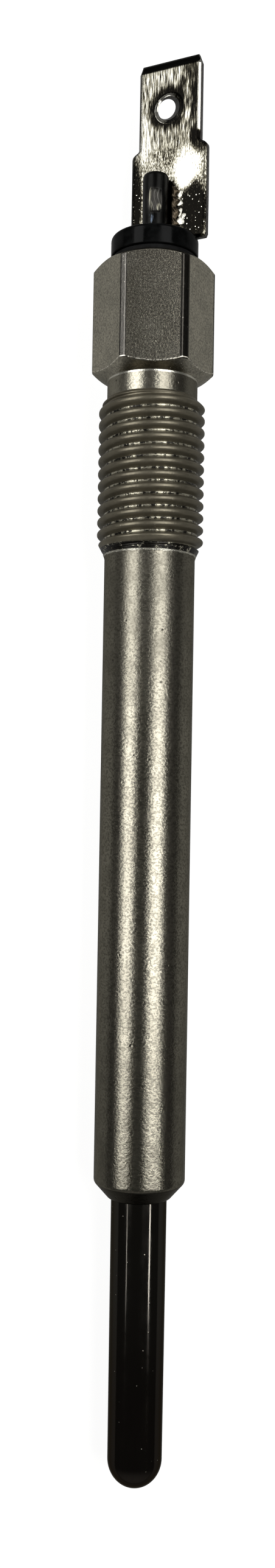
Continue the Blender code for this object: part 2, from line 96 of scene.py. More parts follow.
class PlugSizes(bpy.types.PropertyGroup):
    """Sizes of the visible pieces, equal to the solids that they stand for."""

    hex_flats: length("Hexagon", "Across the flats", 10.0)
    hex_height: length("Hexagon Height", "Height of the head", 10.95)
    hex_corner: length("Hexagon Corner", "Width of the narrow face on each corner", 0.53)
    hex_face: length("Head Face", "Diameter of the plain ring on the head", 8.5)
    body: length("Body", "Diameter of the neck and the barrel", 8.35)
    neck: length("Neck", "Length between hexagon and thread", 1.75)
    barrel: length("Barrel", "Length of the plain barrel", 56.6)
    nose: length("Nose", "Length of the chamfered nose", 1.45)
    nose_end: length("Nose End", "Diameter where the nose ends", 5.75)
    thread: length("Thread", "Diameter over the crests", 9.8)
    pitch: length("Pitch", "Distance from crest to crest", 1.125)
    thread_depth: length("Thread Depth", "Height of the crests above the roots", 0.6)
    thread_length: length("Thread Length", "Length of the thread with its run-out", 15.0)
    first_crest: length("First Crest", "Below the top of the thread on the left side", 1.25)
    runout: length("Run-out", "Length over which the thread fades", 1.8)
    rod_bore: length("Rod Bore", "Diameter of the bore round the rod", 4.4)
    counterbore: length("Counterbore", "Diameter of the bore in the head", 6.6)
    counterbore_depth: length("Counterbore Depth", "Depth of the bore in the head", 3.2)
    sheath: length("Sheath", "Diameter of the heater sheath", 5.05)
    sheath_wall: length("Sheath Wall", "Thickness of the sheath", 0.45)
    sheath_reach: length("Sheath Reach", "Length of the sheath beyond the nose", 26.15)
    sheath_grip: length("Sheath Grip", "Length of the sheath inside the nose", 14.0)
    rod: length("Rod", "Diameter of the rod inside the body", 3.2)
    rod_grip: length("Rod Grip", "Length of the rod inside the sheath", 12.3)
    pin: length("Pin", "Diameter of the terminal pin", 2.4)
    pin_height: length("Pin Height", "Height of the pin above the bush", 6.1)
    bush: length("Bush", "Diameter of the insulating bush", 8.1)
    bush_flange: length("Bush Flange", "Height of the bush's flange", 1.8)
    bush_skirt: length("Bush Skirt", "Length of the bush below its flange", 2.2)
    washer: length("Washer", "Diameter of the washer under the bush", 7.9)
    washer_height: length("Washer Height", "Thickness of the washer", 0.4)
    blade_thickness: length("Blade Thickness", "Thickness of the terminal", 0.8)
    blade_width: length("Blade Width", "Width of the terminal's blade", 6.3)
    blade_length: length("Blade Length", "Length of the blade above its shoulders", 8.1)
    root_width: length("Root Width", "Width of the terminal below its shoulders", 7.7)
    root_length: length("Root Length", "Length of the terminal below its shoulders", 9.1)
    blade_hole: length("Blade Hole", "Diameter of the hole in the blade", 2.2)
    blade_edge: length("Blade Edge", "Width of the chamfer along the blade's edges", 0.25)
    edge: length("Broken Edge", "Rounding of the edges of the steel body", 0.07)


class PlugColours(bpy.types.PropertyGroup):
    """Colours of the finishes."""

    nickel: colour("Nickel", "Plating of the barrel", (0.280, 0.263, 0.212))
    # duller plating, also used as painted shade on the neck's right side and the barrel's ends
    nickel_dull_and_shade: colour("Dull Nickel", "Plating where it has gone dull", (0.115, 0.107, 0.085))
    neck: colour("Neck", "Whiter plating of the neck", (0.335, 0.315, 0.255))
    # painted shade: dark for the nose chamfer, the cone and the right corners of the hexagon; also the head's
    # pits
    nose: colour("Nose", "Dark chamfer of the nose", (0.028, 0.026, 0.022))
    # painted highlight: colour of the bright ring line under the head
    rubbed_and_highlight: colour("Rubbed Line", "Bare metal under the head", (0.75, 0.73, 0.64))
    pit: colour("Pits", "Bottom of the pits in the barrel", (0.02, 0.018, 0.014))
    head: colour("Head", "Plating of the hexagon", (0.60, 0.56, 0.455))
    head_dull: colour("Dull Head", "Duller patches on the hexagon", (0.46, 0.435, 0.355))
    # dark grain of the hexagon, and painted shade on its narrow corner faces
    head_grain_and_corner_shade: colour("Head Corners", "Narrow corner faces of the hexagon", (0.10, 0.095, 0.085))
    # painted highlight: glints and light flecks on the hexagon
    glint: colour("Head Glints", "Flecks and lower edges of the hexagon", (0.85, 0.81, 0.70))
    thread_crest: colour("Thread Crest", "Satin plating on the crests", (0.150, 0.135, 0.098))
    thread_flank: colour("Thread Patches", "Duller patches on the thread", (0.105, 0.094, 0.068))
    # painted highlight: the bright dashes in the thread's roots
    thread_root_highlight: colour("Thread Root", "Polished dashes in the roots", (0.44, 0.415, 0.325))
    # painted shade: the black gaps between the dashes
    thread_root_shade: colour("Thread Gaps", "Black gaps between the dashes", (0.012, 0.011, 0.009))
    thread_nick: colour("Thread Nicks", "Small bare nicks on the thread", (0.40, 0.38, 0.31))
    # painted highlight on the rim below the run-out
    thread_rim_highlight: colour("Thread Rim", "Rubbed rim below the run-out", (0.55, 0.53, 0.45))
    # the blade's tones: the darkest also takes painted shade, the brightest takes painted highlights
    blade_bright_and_highlight: colour("Blade", "Brightest plating of the terminal", (0.45, 0.44, 0.40))
    blade_cream: colour("Cream Streaks", "Plating of the terminal", (0.17, 0.16, 0.122))
    blade_brown: colour("Brown Streaks", "Worn plating of the terminal", (0.035, 0.031, 0.022))
    blade_dark_stain_and_shade: colour("Blade Stain", "Dark stain and heat marks on the terminal", (0.0034, 0.0031, 0.0025))
    blade_wall: colour("Blade Wall", "Cut sides of the terminal", (0.07, 0.066, 0.062))
    blade_wall_light: colour("Blade Wall Grain", "Lighter grain of the cut sides", (0.20, 0.19, 0.18))
    pin_steel: colour("Pin", "Dark steel of the pin", (0.006, 0.006, 0.0057))
    pin_line: colour("Pin Lines", "Lighter lines along the pin", (0.03, 0.03, 0.028))
    # painted highlight: the pin's lighter left side
    pin_left_highlight: colour("Pin Side", "Lighter left side of the pin", (0.024, 0.024, 0.023))
    pin_window: colour("Press Mark Ground", "Steel pressed smooth", (0.075, 0.072, 0.065))
    pin_mark: colour("Press Mark", "Bare metal in the press mark", (0.46, 0.44, 0.34))
    pin_scratch: colour("Pin Scratches", "Blue scratches below the press mark", (0.20, 0.25, 0.32))
    sheath_dark: colour("Sheath", "Dark alloy of the heater sheath", (0.050, 0.047, 0.042))
    sheath_burnt: colour("Sheath Tip", "The alloy where it runs hottest", (0.034, 0.029, 0.026))
    sheath_line: colour("Sheath Lines", "Faint lines along the sheath", (0.07, 0.062, 0.048))
    sheath_fleck: colour("Sheath Flecks", "Small light flecks on the sheath", (0.7, 0.66, 0.56))
    bush_black: colour("Bush", "Black moulding of the bush", (0.0014, 0.0015, 0.0015))
    washer_black: colour("Washer", "Black elastomer", (0.003, 0.003, 0.003))
    weld_brown: colour("Weld", "Heat-tinted weld", (0.12, 0.095, 0.065))
    weld_dark: colour("Dark Weld", "Darkest cells of the weld", (0.035, 0.028, 0.020))
    weld_bright: colour("Weld Lobes", "Bright lobes of the weld", (0.88, 0.86, 0.76))
    wire: colour("Wire", "Resistance wire of the coils", (0.35, 0.33, 0.30))
    powder: colour("Powder", "Compacted magnesia", (0.80, 0.79, 0.75))


class PlugStage(bpy.types.PropertyGroup):
    """Floor, light and camera."""

    floor: colour("Floor", "Colour of the floor", (0.22, 0.22, 0.215))
    floor_white: share("Floor White", "Light that the camera sees added to the floor", 0.86)
    floor_gloss: share("Floor in Metal", "Light that reflections see added to the floor", 0.03)
    room: share("Room", "Level of the plain room light", 0.06)
    room_ends: share("Room Ends", "Level of the room light beyond the plug's ends", 0.25)
    left_level: FloatProperty(name="Left Lamp", description="Level of the left strip", default=4.4, min=0.0)
    right_level: FloatProperty(
        name="Right Lamp", description="Level of the right strip", default=5.5, min=0.0
    )
    distance: length("Camera Distance", "From the plug's axis", 125.7)
    lens: FloatProperty(
        name="Lens", description="Focal length on a 36 mm frame", default=31.374, subtype="DISTANCE_CAMERA"
    )


def heights(s, measure=1.0):
    """Heights along the plug's axis that follow from the sizes, in metres or by another measure."""
    seat = 0.10 * MM  # gap of the pressed and welded joints
    h = SimpleNamespace(seat=seat)
    h.hex_base = -s.hex_height
    h.thread_top = h.hex_base - s.neck
    h.thread_end = h.thread_top - s.thread_length
    h.nose_top = h.thread_end - s.barrel
    h.nose_end = h.nose_top - s.nose
    h.sheath_tip = h.nose_end - s.sheath_reach
    h.sheath_mouth = h.nose_end + s.sheath_grip
    h.rod_foot = h.sheath_mouth - s.rod_grip
    h.bush_base = 2 * seat + s.washer_height
    h.bush_top = h.bush_base + s.bush_flange
    h.skirt_end = h.bush_base - s.bush_skirt
    h.pin_top = h.bush_top + s.pin_height
    h.blade_foot = h.bush_top + seat
    h.shoulder = h.blade_foot + s.root_length
    h.blade_tip = h.shoulder + s.blade_length
    return SimpleNamespace(**{name: height / measure for name, height in vars(h).items()})


def lying(s):
    """Matrix that lays the upright plug along Y, on its last full crest and the edge of its nose."""
    h = heights(s)
    radius = s.body / 2
    slope = math.atan2(s.thread / 2 - radius, h.thread_end + s.runout - h.nose_top)
    middle = (h.blade_tip + h.sheath_tip) / 2
    rise = radius / math.cos(slope) + (middle - h.nose_top) * math.sin(slope)
    turn = Matrix.Rotation(slope - math.pi / 2, 4, "X")
    return Matrix.Translation((0, 0, rise)) @ turn @ Matrix.Translation((0, 0, -middle))


# Fixed measures


HEAD_CONE = math.radians(30)  # slope of the cones that chamfer the hexagon
BLADE_TURN = math.radians(26)  # about the axis
BLADE_OFFSET = 0.8 * MM  # its centre line from the pin's, towards its right
PIN_TO_BLADE = 0.9 * MM  # from the pin's axis to the blade's face
RING_COLUMNS, PIN_COLUMNS, SHEATH_COLUMNS = 96, 120, 128  # faces round the turned pieces
PIN_ROWS = 90  # rows on the visible part of the pin
TIP_ROWS = 25  # rows on the round tip, inside and outside
SHEATH_ROWS = 30  # rows on the straight outside of the sheath
SHEATH_TAPER = (0.982, 1.01)  # of its diameter, at the tip and at the nose
BUSH_GAP = 0.15 * MM  # round the bush's skirt and round the rod in the bush
PRESS_MARK_RISE = 3.3  # mm, from the bush to the middle of the press mark
PRESS_MARK_HALF = (0.70 * MM, 1.12 * MM)  # its half width and half height
PRESS_MARK_DEPTH = 0.12 * MM
RIDGE_HEIGHT = 0.018 * MM  # of the ridges in the press mark
FINE_EDGE = 0.16 * MM  # width over which the press mark fades out
HOLE_BELOW_TIP = 4.55 * MM  # the middle of the dish round the hole
HOLE_OFF = (-0.15 * MM, 0.08 * MM)  # the hole's middle from the dish's, across and up
HOLE_LEAN = (-0.46 * MM, 0.25 * MM)  # how far the hole wanders through the blade
HOLE_DRAWN = 0.17 * MM  # how much smaller its radius is at the back
HOLE_REACH = (1.15 * MM, 1.35 * MM)  # the hole's edge from its middle, and the width beyond that it moves
HOLE_EDGE = 0.05 * MM  # chamfer round the hole
DISH_RADIUS = 1.46 * MM  # the shallow dish pressed in round the hole
DISH_DEPTH = 0.20 * MM
BACK_EDGE = 0.06 * MM  # chamfer along the edges of the blade's back
TIP_TAPER = 0.85 * MM  # length over which the blade narrows and thins to its tip
TIP_THICKNESS = 0.4 * MM  # of the blade
SHEET_COLUMNS = 24  # faces across the blade
BOW = 0.012 * MM  # of the blade
# Rises in mm above the shoulder and shares of its width
SHOULDER_FORM = ((-0.52, 1.0), (-0.38, 0.95), (-0.27, 0.80), (-0.06, 0.28), (0.08, 0.08), (0.28, 0.0))
# Shares of the chamfer's width and of its depth, from the blade's face to its side
EDGE_FORM = ((0.12, 0.03), (0.25, 0.15), (0.85, 0.75), (0.97, 0.88), (1.0, 1.0))
BEAD_START, BEAD_LENGTH = 1.0 * MM, 4.2 * MM  # its foot above the bush, and its length
BEAD_HALF, BEAD_RISE = 0.42 * MM, 0.40 * MM  # its half width, and its rise from the blade
BEAD_LOBES = 4  # swellings along the weld bead
BEAD_FRONT = 0.75  # of its columns, the rest lie on the blade
LOBE_RISE, LOBE_LIFT = 0.09, 0.02  # mm, half their thickness, and their middle's distance from the blade
LOBES = (
    # across and height of the middle, half width, half height in mm, and lean in radians
    (2.02, 6.80, 0.36, 0.34, -0.7),
    (2.00, 6.00, 0.30, 0.42, 0.5),
    (2.02, 5.02, 0.30, 0.40, -0.5),
    (2.46, 4.62, 0.20, 0.32, -0.5),
    (2.10, 4.20, 0.46, 0.40, 0.2),
)
THREAD_CREST = 0.32  # of the pitch
THREAD_ROOT = 0.14  # of the pitch
RUNOUT_FOOT = 0.25 * MM  # plain length below the run-out
POLISHED_FOOT = 0.52 * MM  # height above the barrel up to which the run-out is polished like it
# Rows down half a turn of the thread, in pitches
ROW_SHARES = (0.0, 0.06, 0.12, 0.17, 0.22, 0.27, 0.32, 0.37, 0.41, 0.45)
HEAD_FINISH, BODY_FINISH, THREAD_FINISH = 0, 1, 2  # the body's materials


# Surfaces


PLAIN_ROW = 1.7  # trims from a corner to the plain row beside its rounding
SAME_PLACE = 0.0001 * MM  # corners closer than this are one


def laid_down(points, s):
    """Turns upright points, an array (..., 3), to where the plug lies: matrix times point, plus its place."""
    matrix = np.array(lying(s))
    return points @ matrix[:3, :3].T + matrix[:3, 3]


def beside_pin(points):
    """Turns points from the blade's own directions to the plug's: back by the blade's turn about the axis."""
    c, n = math.cos(-BLADE_TURN), math.sin(-BLADE_TURN)
    x, y, z = np.moveaxis(points, -1, 0)
    return np.stack((x * c - y * n, x * n + y * c, z), axis=-1)


def soft_min(a, b, blend):
    """The smaller of two arrays, with the corner between them rounded by a parabola as wide as blend."""
    nearer = np.clip(0.5 + 0.5 * (b - a) / blend, 0.0, 1.0)
    return b + (a - b) * nearer - blend * nearer * (1.0 - nearer)


def soft_max(a, b, blend):
    """The larger of two arrays, with the corner rounded as soft_min does."""
    return -soft_min(-a, -b, blend)


def smooth_step(value, low, high):
    """0 below low, 1 above high, and three t squared less two t cubed between them."""
    t = np.clip((value - low) / (high - low), 0.0, 1.0)
    return t * t * (3.0 - 2.0 * t)


def unit(vectors):
    """Vectors over their own length."""
    return vectors / np.maximum(np.linalg.norm(vectors, axis=-1, keepdims=True), 1e-12)


def eased(corners, trims, steps=4):
    """Rounds the corners of a profile, which may differ from column to column.

    Each corner is replaced by a parabola that leaves the side before it and joins the side after it, at its
    trim from the corner. A plain row on either side keeps the shading of the flat parts flat.
    """
    rows = []
    t = np.linspace(0.0, 1.0, steps + 1)[:, None, None]
    for k, trim in enumerate(trims):
        corner = corners[k]
        if trim == 0.0:
            rows.append(corner[None])
            continue
        back = unit(corners[k - 1] - corner)
        on = unit(corners[(k + 1) % len(corners)] - corner)
        start, end = corner + back * trim, corner + on * trim
        curve = (1 - t) ** 2 * start + 2 * t * (1 - t) * corner + t**2 * end
        before, after = corner + back * PLAIN_ROW * trim, corner + on * PLAIN_ROW * trim
        rows.append(np.concatenate((before[None], curve, after[None])))
    return np.concatenate(rows)


def profile(points, columns):
    """Repeats (radius, height) corners over the columns: an array of corners, columns and two numbers."""
    corners = [np.stack(np.broadcast_arrays(radius, height), axis=-1) for radius, height in points]
    return np.stack([np.broadcast_to(corner, (columns, 2)) for corner in corners])


def spun(rows, angles):
    """Surface of revolution: radius times cosine, radius times sine, height."""
    radius, height = rows[..., 0], rows[..., 1]
    return np.stack((radius * np.cos(angles), radius * np.sin(angles), height), axis=-1)


def grid_quads(rows, columns, ring=False):
    """Corner numbers of the quads between neighbouring rows, outwards for a profile that runs down."""
    index = np.arange(rows * columns).reshape(rows, columns)
    if ring:
        index = np.concatenate((index, index[:1]))
    here, there = index[:-1], index[1:]
    return np.stack((here[:, :-1], there[:, :-1], there[:, 1:], here[:, 1:]), axis=-1).reshape(-1, 4)


def add_piece(name, points, quads, finishes, stands_for=(), bands=None):
    """Puts a surface into a mesh, closes its seams and poles, and sets it on the frame's body."""
    mesh = bpy.data.meshes.new(name)
    mesh.from_pydata(points.reshape(-1, 3), [], quads.tolist())
    if bands is not None:
        mesh.polygons.foreach_set("material_index", bands.astype(np.int32).ravel())
    made = bmesh.new()
    made.from_mesh(mesh)
    bmesh.ops.remove_doubles(made, verts=made.verts, dist=SAME_PLACE)
    bmesh.ops.dissolve_degenerate(made, dist=SAME_PLACE / 2, edges=made.edges)
    if not all(edge.is_manifold for edge in made.edges):
        raise RuntimeError(f"the surface of {name} isn't closed")
    made.to_mesh(mesh)
    made.free()
    mesh.polygons.foreach_set("use_smooth", np.ones(len(mesh.polygons), dtype=bool))
    for finish in finishes:
        mesh.materials.append(finish)
    mesh.update()
    piece = bpy.data.objects.new(name, mesh)
    bpy.context.scene.collection.objects.link(piece)
    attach(piece, "root")
    if stands_for:
        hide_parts(*stands_for)
    return piece


# Node tools


class Value:
    """A node's output, which adds, subtracts and multiplies as a number does, by Math nodes."""

    def __init__(self, socket):
        self.socket = socket
        self.tree = socket.id_data

    def math(self, operation, other=0.0, other_first=False):
        inputs = {0: other, 1: self} if other_first else {0: self, 1: other}
        return Value(add(self.tree, "ShaderNodeMath", inputs, operation=operation).outputs[0])

    def __add__(self, other):
        return self.math("ADD", other)

    def __sub__(self, other):
        return self.math("SUBTRACT", other)

    def __rsub__(self, other):
        return self.math("SUBTRACT", other, other_first=True)

    def __mul__(self, other):
        return self.math("MULTIPLY", other)

    def larger(self, other):
        return self.math("MAXIMUM", other)

    def ramp(self, low, high, start=0.0, end=1.0, kind="SMOOTHSTEP"):
        """From start at low to end at high, softly or with LINEAR evenly, and level beyond them."""
        inputs = {"Value": self, "From Min": low, "From Max": high, "To Min": start, "To Max": end}
        node = add(self.tree, "ShaderNodeMapRange", inputs, interpolation_type=kind, clamp=True)
        return Value(node.outputs["Result"])


def fill(socket, value):
    """Links a Value to a socket, or writes a plain value into it."""
    if isinstance(value, Value):
        value.tree.links.new(value.socket, socket)
    else:
        socket.default_value = (*value[:3], 1.0) if socket.type == "RGBA" else value


def add(tree, kind, inputs=None, **options):
    """Adds a node, sets its options, and fills its sockets."""
    made = tree.nodes.new(kind)
    for key, value in options.items():
        setattr(made, key, value)
    for key, value in (inputs or {}).items():
        fill(made.inputs[key], value)
    return made


def mix(amount, first, second):
    """Colour that goes from the first to the second."""
    node = add(amount.tree, "ShaderNodeMix", {0: amount, 6: first, 7: second}, data_type="RGBA")
    return Value(node.outputs[2])


def toned(value, stops):
    """Colour ramp through (position, colour) stops."""
    node = add(value.tree, "ShaderNodeValToRGB", {"Fac": value})
    ramp = node.color_ramp
    while len(ramp.elements) < len(stops):
        ramp.elements.new(1.0)
    for element, (position, tone) in zip(ramp.elements, stops):
        element.position = position
        element.color = (*tone, 1.0)
    return Value(node.outputs["Color"])


def noise(vector, scale, detail=3.0, roughness=0.55):
    """Noise about 0.5, with the scale in cells per unit of the vector."""
    inputs = {"Vector": vector, "Scale": scale, "Detail": detail, "Roughness": roughness}
    return Value(add(vector.tree, "ShaderNodeTexNoise", inputs).outputs["Fac"])


def vector_math(operation, first, second=(0.0, 0.0, 0.0), output=0):
    """Vector that a Vector Math node makes of two, or its number with output 1."""
    node = add(first.tree, "ShaderNodeVectorMath", {0: first, 1: second}, operation=operation)
    return Value(node.outputs[output])


def split(vector):
    """The three parts of a vector or colour."""
    return [Value(part) for part in add(vector.tree, "ShaderNodeSeparateXYZ", {"Vector": vector}).outputs]


def from_axis(x, y):
    """Distance from the plug's axis: the square root of x squared plus y squared."""
    return (x * x + y * y).math("SQRT")


def plug_place(tree, s, blade):
    """Object coordinates turned back to the upright plug in mm, or to the blade's own directions."""
    inverse = lying(s).inverted()
    if blade:
        inverse = Matrix.Rotation(BLADE_TURN, 4, "Z") @ inverse
    inputs = {
        "Vector": Value(add(tree, "ShaderNodeTexCoord").outputs["Object"]),
        "Location": inverse.to_translation() / MM,
        "Rotation": inverse.to_euler(),
        "Scale": (1 / MM, 1 / MM, 1 / MM),
    }
    return Value(add(tree, "ShaderNodeMapping", inputs, vector_type="POINT").outputs["Vector"])


def group_of(name, inputs, outputs, build):
    """Node group with that name, built at its first use. A plain default makes its input a number."""
    if name in bpy.data.node_groups:
        return bpy.data.node_groups[name]
    tree = bpy.data.node_groups.new(name, "ShaderNodeTree")
    for label, default in inputs.items():
        kind = "NodeSocketFloat" if isinstance(default, float) else "NodeSocketVector"
        tree.interface.new_socket(name=label, in_out="INPUT", socket_type=kind).default_value = default
    for label in outputs:
        tree.interface.new_socket(name=label, in_out="OUTPUT", socket_type="NodeSocketFloat")
    given = add(tree, "NodeGroupInput").outputs
    result = add(tree, "NodeGroupOutput").inputs
    for label, value in zip(outputs, build(*(Value(given[label]) for label in inputs))):
        fill(result[label], value)
    return tree


def use(group, *values):
    """Outputs of a group that gets the values in the order of its inputs, a place first."""
    node = add(values[0].tree, "ShaderNodeGroup", dict(enumerate(values)), node_tree=group)
    return [Value(output) for output in node.outputs]


ORIGIN = (0.0, 0.0, 0.0)


def drawn_lines():
    """Fine lines left by drawing or polishing: noise stretched by its own scale in each direction."""

    def build(place, fineness, detail):
        stretched = vector_math("MULTIPLY", place, fineness)
        return noise(stretched, 1.0, detail, 0.6), noise(stretched, 0.35, 2.0, 0.5)

    inputs = {"Place": ORIGIN, "Fineness": (1.0, 1.0, 8.0), "Detail": 4.0}
    return group_of("drawn_lines", inputs, ("Lines", "Broad Lines"), build)


def soft_spot():
    """1 inside an ellipsoid with the given half sizes, 0 outside it, with a soft edge between."""

    def build(place, middle, half_size):
        scaled = vector_math("DIVIDE", vector_math("SUBTRACT", place, middle), half_size)
        return (vector_math("LENGTH", scaled, output=1).ramp(1.3, 0.7),)

    inputs = {"Place": ORIGIN, "Middle": ORIGIN, "Half Size": (1.0, 1.0, 1.0)}
    return group_of("soft_spot", inputs, ("Amount",), build)


def spots(place, table):
    """Sum of soft spots, each given by its middle across and along, its half sizes and its amount."""
    total = None
    for across, along, half_across, half_along, amount in table:
        middle, half_size = (across, 0.0, along), (half_across, 1000.0, half_along)
        part = use(soft_spot(), place, middle, half_size)[0] * amount
        total = part if total is None else total + part
    return total


def wear_marks():
    """Dull patches from soft noise, and small pits in a share of the cells of a Voronoi pattern."""

    def build(place, patch_scale, pit_scale, pit_share, pit_size):
        patches = noise(place, patch_scale, 4.0, 0.6).ramp(0.35, 0.68)
        cells = add(place.tree, "ShaderNodeTexVoronoi", {"Vector": place, "Scale": pit_scale}).outputs
        chosen = split(Value(cells["Color"]))[0].math("LESS_THAN", pit_share)
        return patches, chosen * Value(cells["Distance"]).ramp(pit_size, 0.0)

    inputs = {"Place": ORIGIN, "Patch Scale": 0.4, "Pit Scale": 2.0, "Pit Share": 0.1, "Pit Size": 0.25}
    return group_of("wear_marks", inputs, ("Patches", "Pits"), build)


def new_finish(name, s, roughness=0.4, metallic=1.0, specular=0.5, tint=(1.0, 1.0, 1.0), blade=False):
    """Material, its tree and shader with the constants on its sockets, and its place on the upright plug."""
    material = bpy.data.materials.new(name)
    material.use_nodes = True
    tree = material.node_tree
    shader = tree.nodes["Principled BSDF"]
    shader.inputs["Metallic"].default_value = metallic
    shader.inputs["Roughness"].default_value = roughness
    shader.inputs["Specular IOR Level"].default_value = specular
    shader.inputs["Specular Tint"].default_value = (*tint, 1.0)
    return SimpleNamespace(material=material, tree=tree, shader=shader, place=plug_place(tree, s, blade))


def finished(made, base, rough, height, depth):
    """The material, with its changing colour and roughness, and a bump whose depth is in millimetres."""
    bump = add(made.tree, "ShaderNodeBump", {"Height": height, "Strength": 1.0, "Distance": depth * MM})
    fill(made.shader.inputs["Base Color"], base)
    fill(made.shader.inputs["Roughness"], rough)
    fill(made.shader.inputs["Normal"], Value(bump.outputs[0]))
    return made.material


# Finishes


def polished_plate(s, c):
    """Nickel on the turned body: fine grain and turning lines, duller patches, nicks and a nose painted dark
    as shade.

    The neck keeps a whiter plating, with a painted highlight line under the head and its right side painted
    darker as shade. The barrel is painted darker near its two ends, as shade.
    """
    made = new_finish("polished_plate", s, tint=(0.75, 0.73, 0.68))
    h = heights(s, MM)
    x, _, z = split(made.place)
    grain, _ = use(drawn_lines(), made.place, (3.8, 3.8, 5.6))
    patches, pits = use(wear_marks(), made.place, 0.5, 0.9, 0.20, 0.15)
    neck = z.ramp(h.thread_top - 0.4, h.thread_top + 0.1)
    # painted shade on the nose chamfer
    nose = z.ramp(h.nose_top + 0.05, h.nose_top - 0.15)
    # painted highlight: a bright ring line at the fillet under the head
    collar_highlight = z.ramp(h.hex_base - 0.20, h.hex_base - 0.12)
    middle = h.thread_end - 17.0
    # painted shade: the barrel darker towards both ends, plus real duller patches
    end_shade_and_patches = z.ramp(middle, h.thread_end - 6.0, 0.0, 0.32)
    end_shade_and_patches = end_shade_and_patches.larger(z.ramp(middle - 18.0, middle - 32.0, 0.0, 0.35)) + patches * 0.35
    speckle = grain.ramp(0.54, 0.41)
    # painted shade: the neck's right side turned darker
    right = x.ramp(0.0, 1.4, 0.0, 0.6)
    base = mix(end_shade_and_patches, c.nickel, c.nickel_dull_and_shade)
    base = mix(speckle * 0.75, base, c.nickel_dull_and_shade)
    base = mix(neck, base, mix(right, c.neck, c.nickel_dull_and_shade))
    base = mix(speckle * neck * 0.3, base, c.nickel_dull_and_shade)
    base = mix(collar_highlight, base, c.rubbed_and_highlight)
    base = mix(nose, base, c.nose)
    base = mix(pits * 0.8, base, c.pit)
    rough = z.ramp(h.thread_end - 2.0, h.thread_end - 22.0, 0.26, 0.18)
    rough = rough - neck * 0.04 + patches * 0.05
    return finished(made, base, rough, grain - pits, 0.025)


def head_plate(s, c):
    """The hexagon's plating: fine grain, painted glint flecks and pits, and corner faces painted dark as
    shade.

    The lower edges of its flats get painted glints: there the height above the cone, z less the base less the
    cone's slope times the distance from the neck, is small but not nothing. The cone itself gets painted
    shade at front and back.
    """
    made = new_finish("head_plate", s, tint=(0.85, 0.84, 0.80))
    h = heights(s, MM)
    x, y, z = split(made.place)
    radius = from_axis(x, y)
    lines, _ = use(drawn_lines(), made.place, (3.0, 3.0, 0.9))
    patches, marks = use(wear_marks(), made.place, 0.5, 2.8, 0.55, 0.26)
    grain = noise(made.place, 6.0, 4.0, 0.75)
    beyond = radius - s.hex_flats / 2 / MM + x.ramp(-0.1, 0.1) * 0.07
    # painted shade: the narrow corner faces darkened, the right ones darker still
    corner = beyond.ramp(0.585, 0.61)
    right_corner_shade = beyond.ramp(0.61, 0.64) * x.math("GREATER_THAN", 0.0)
    cone = (radius - s.body / 2 / MM) * math.tan(HEAD_CONE)
    above = z - h.hex_base - cone
    # painted shade on the cone at front and back
    stain_and_painted_light = above.ramp(0.03, 0.0) * x.math("ABSOLUTE").ramp(3.4, 2.2) * 0.62
    # painted highlight: glints along the flats' lower edges and the corner faces' ends, with light flecks
    edge = above.ramp(0.02, 0.05) * above.ramp(0.15, 0.09)
    glint = (edge * grain.ramp(0.47, 0.57)).larger(edge * corner)
    fleck_glint = marks * grain.ramp(0.46, 0.56)
    pit = marks * grain.ramp(0.46, 0.40)
    light = (fleck_glint * 0.45).larger(glint)
    base = mix(patches * 0.8, c.head, c.head_dull)
    base = mix(grain.ramp(0.60, 0.38, 0.0, 0.62), base, c.head_grain_and_corner_shade)
    base = mix(corner, base, c.head_grain_and_corner_shade)
    base = mix(right_corner_shade * 0.8, base, c.nose)
    base = mix(stain_and_painted_light, base, c.nose)
    base = mix(pit * 0.8, base, c.nose)
    base = mix(light, base, c.glint)
    rough = patches.ramp(0.0, 1.0, 0.16, 0.21, "LINEAR") + light * 0.25
    return finished(made, base, rough, lines * 0.3 + grain * 0.7, 0.018)


def thread_plate(s, c):
    """Satin plating of the thread. Its roots get a smoother polish, with painted highlight dashes and painted
    shade between them.

    The groove above the barrel, where the thread has run out, is painted dark as shade and blotched, with a
    painted highlight rim below.
    """
    made = new_finish("thread_plate", s, metallic=0.75, specular=0.35)
    h = heights(s, MM)
    x, y, z = split(made.place)
    root = (s.thread / 2 - s.thread_depth) / MM
    in_root = from_axis(x, y).ramp(root + 0.06, root + 0.015)
    in_root = in_root * z.ramp(h.thread_top - 0.7, h.thread_top - 0.95)
    in_root = in_root * z.ramp(h.thread_end + 1.5, h.thread_end + 1.8)
    patches, pits = use(wear_marks(), made.place, 0.8, 2.6, 0.12, 0.25)
    grain = noise(made.place, 7.0, 3.0, 0.65)
    dash = noise(made.place, 2.1, 5.0, 0.75)
    # painted shade in the groove above the barrel
    groove = z.ramp(h.thread_end + 1.30, h.thread_end + 1.18)
    # painted highlight on the rim below the groove
    rim = z.ramp(h.thread_end + 0.66, h.thread_end + 0.60)
    # painted highlight dashes and painted shade gaps in the roots and the groove; the smoother polish there
    # is real
    polish_and_painted_dashes = in_root.larger(groove)
    lit = (dash - groove * 0.09).ramp(0.46, 0.54)
    base = mix(patches * 0.6, c.thread_crest, c.thread_flank)
    base = mix(polish_and_painted_dashes, base, mix(lit, c.thread_root_shade, c.thread_root_highlight))
    base = mix(pits * 0.5, base, c.thread_nick)
    base = mix(rim * 0.7, base, c.thread_rim_highlight)
    rough = grain.ramp(0.3, 0.7, 0.30, 0.42) - polish_and_painted_dashes * 0.16
    return finished(made, base, rough, grain + dash * polish_and_painted_dashes * 4.0, 0.009)


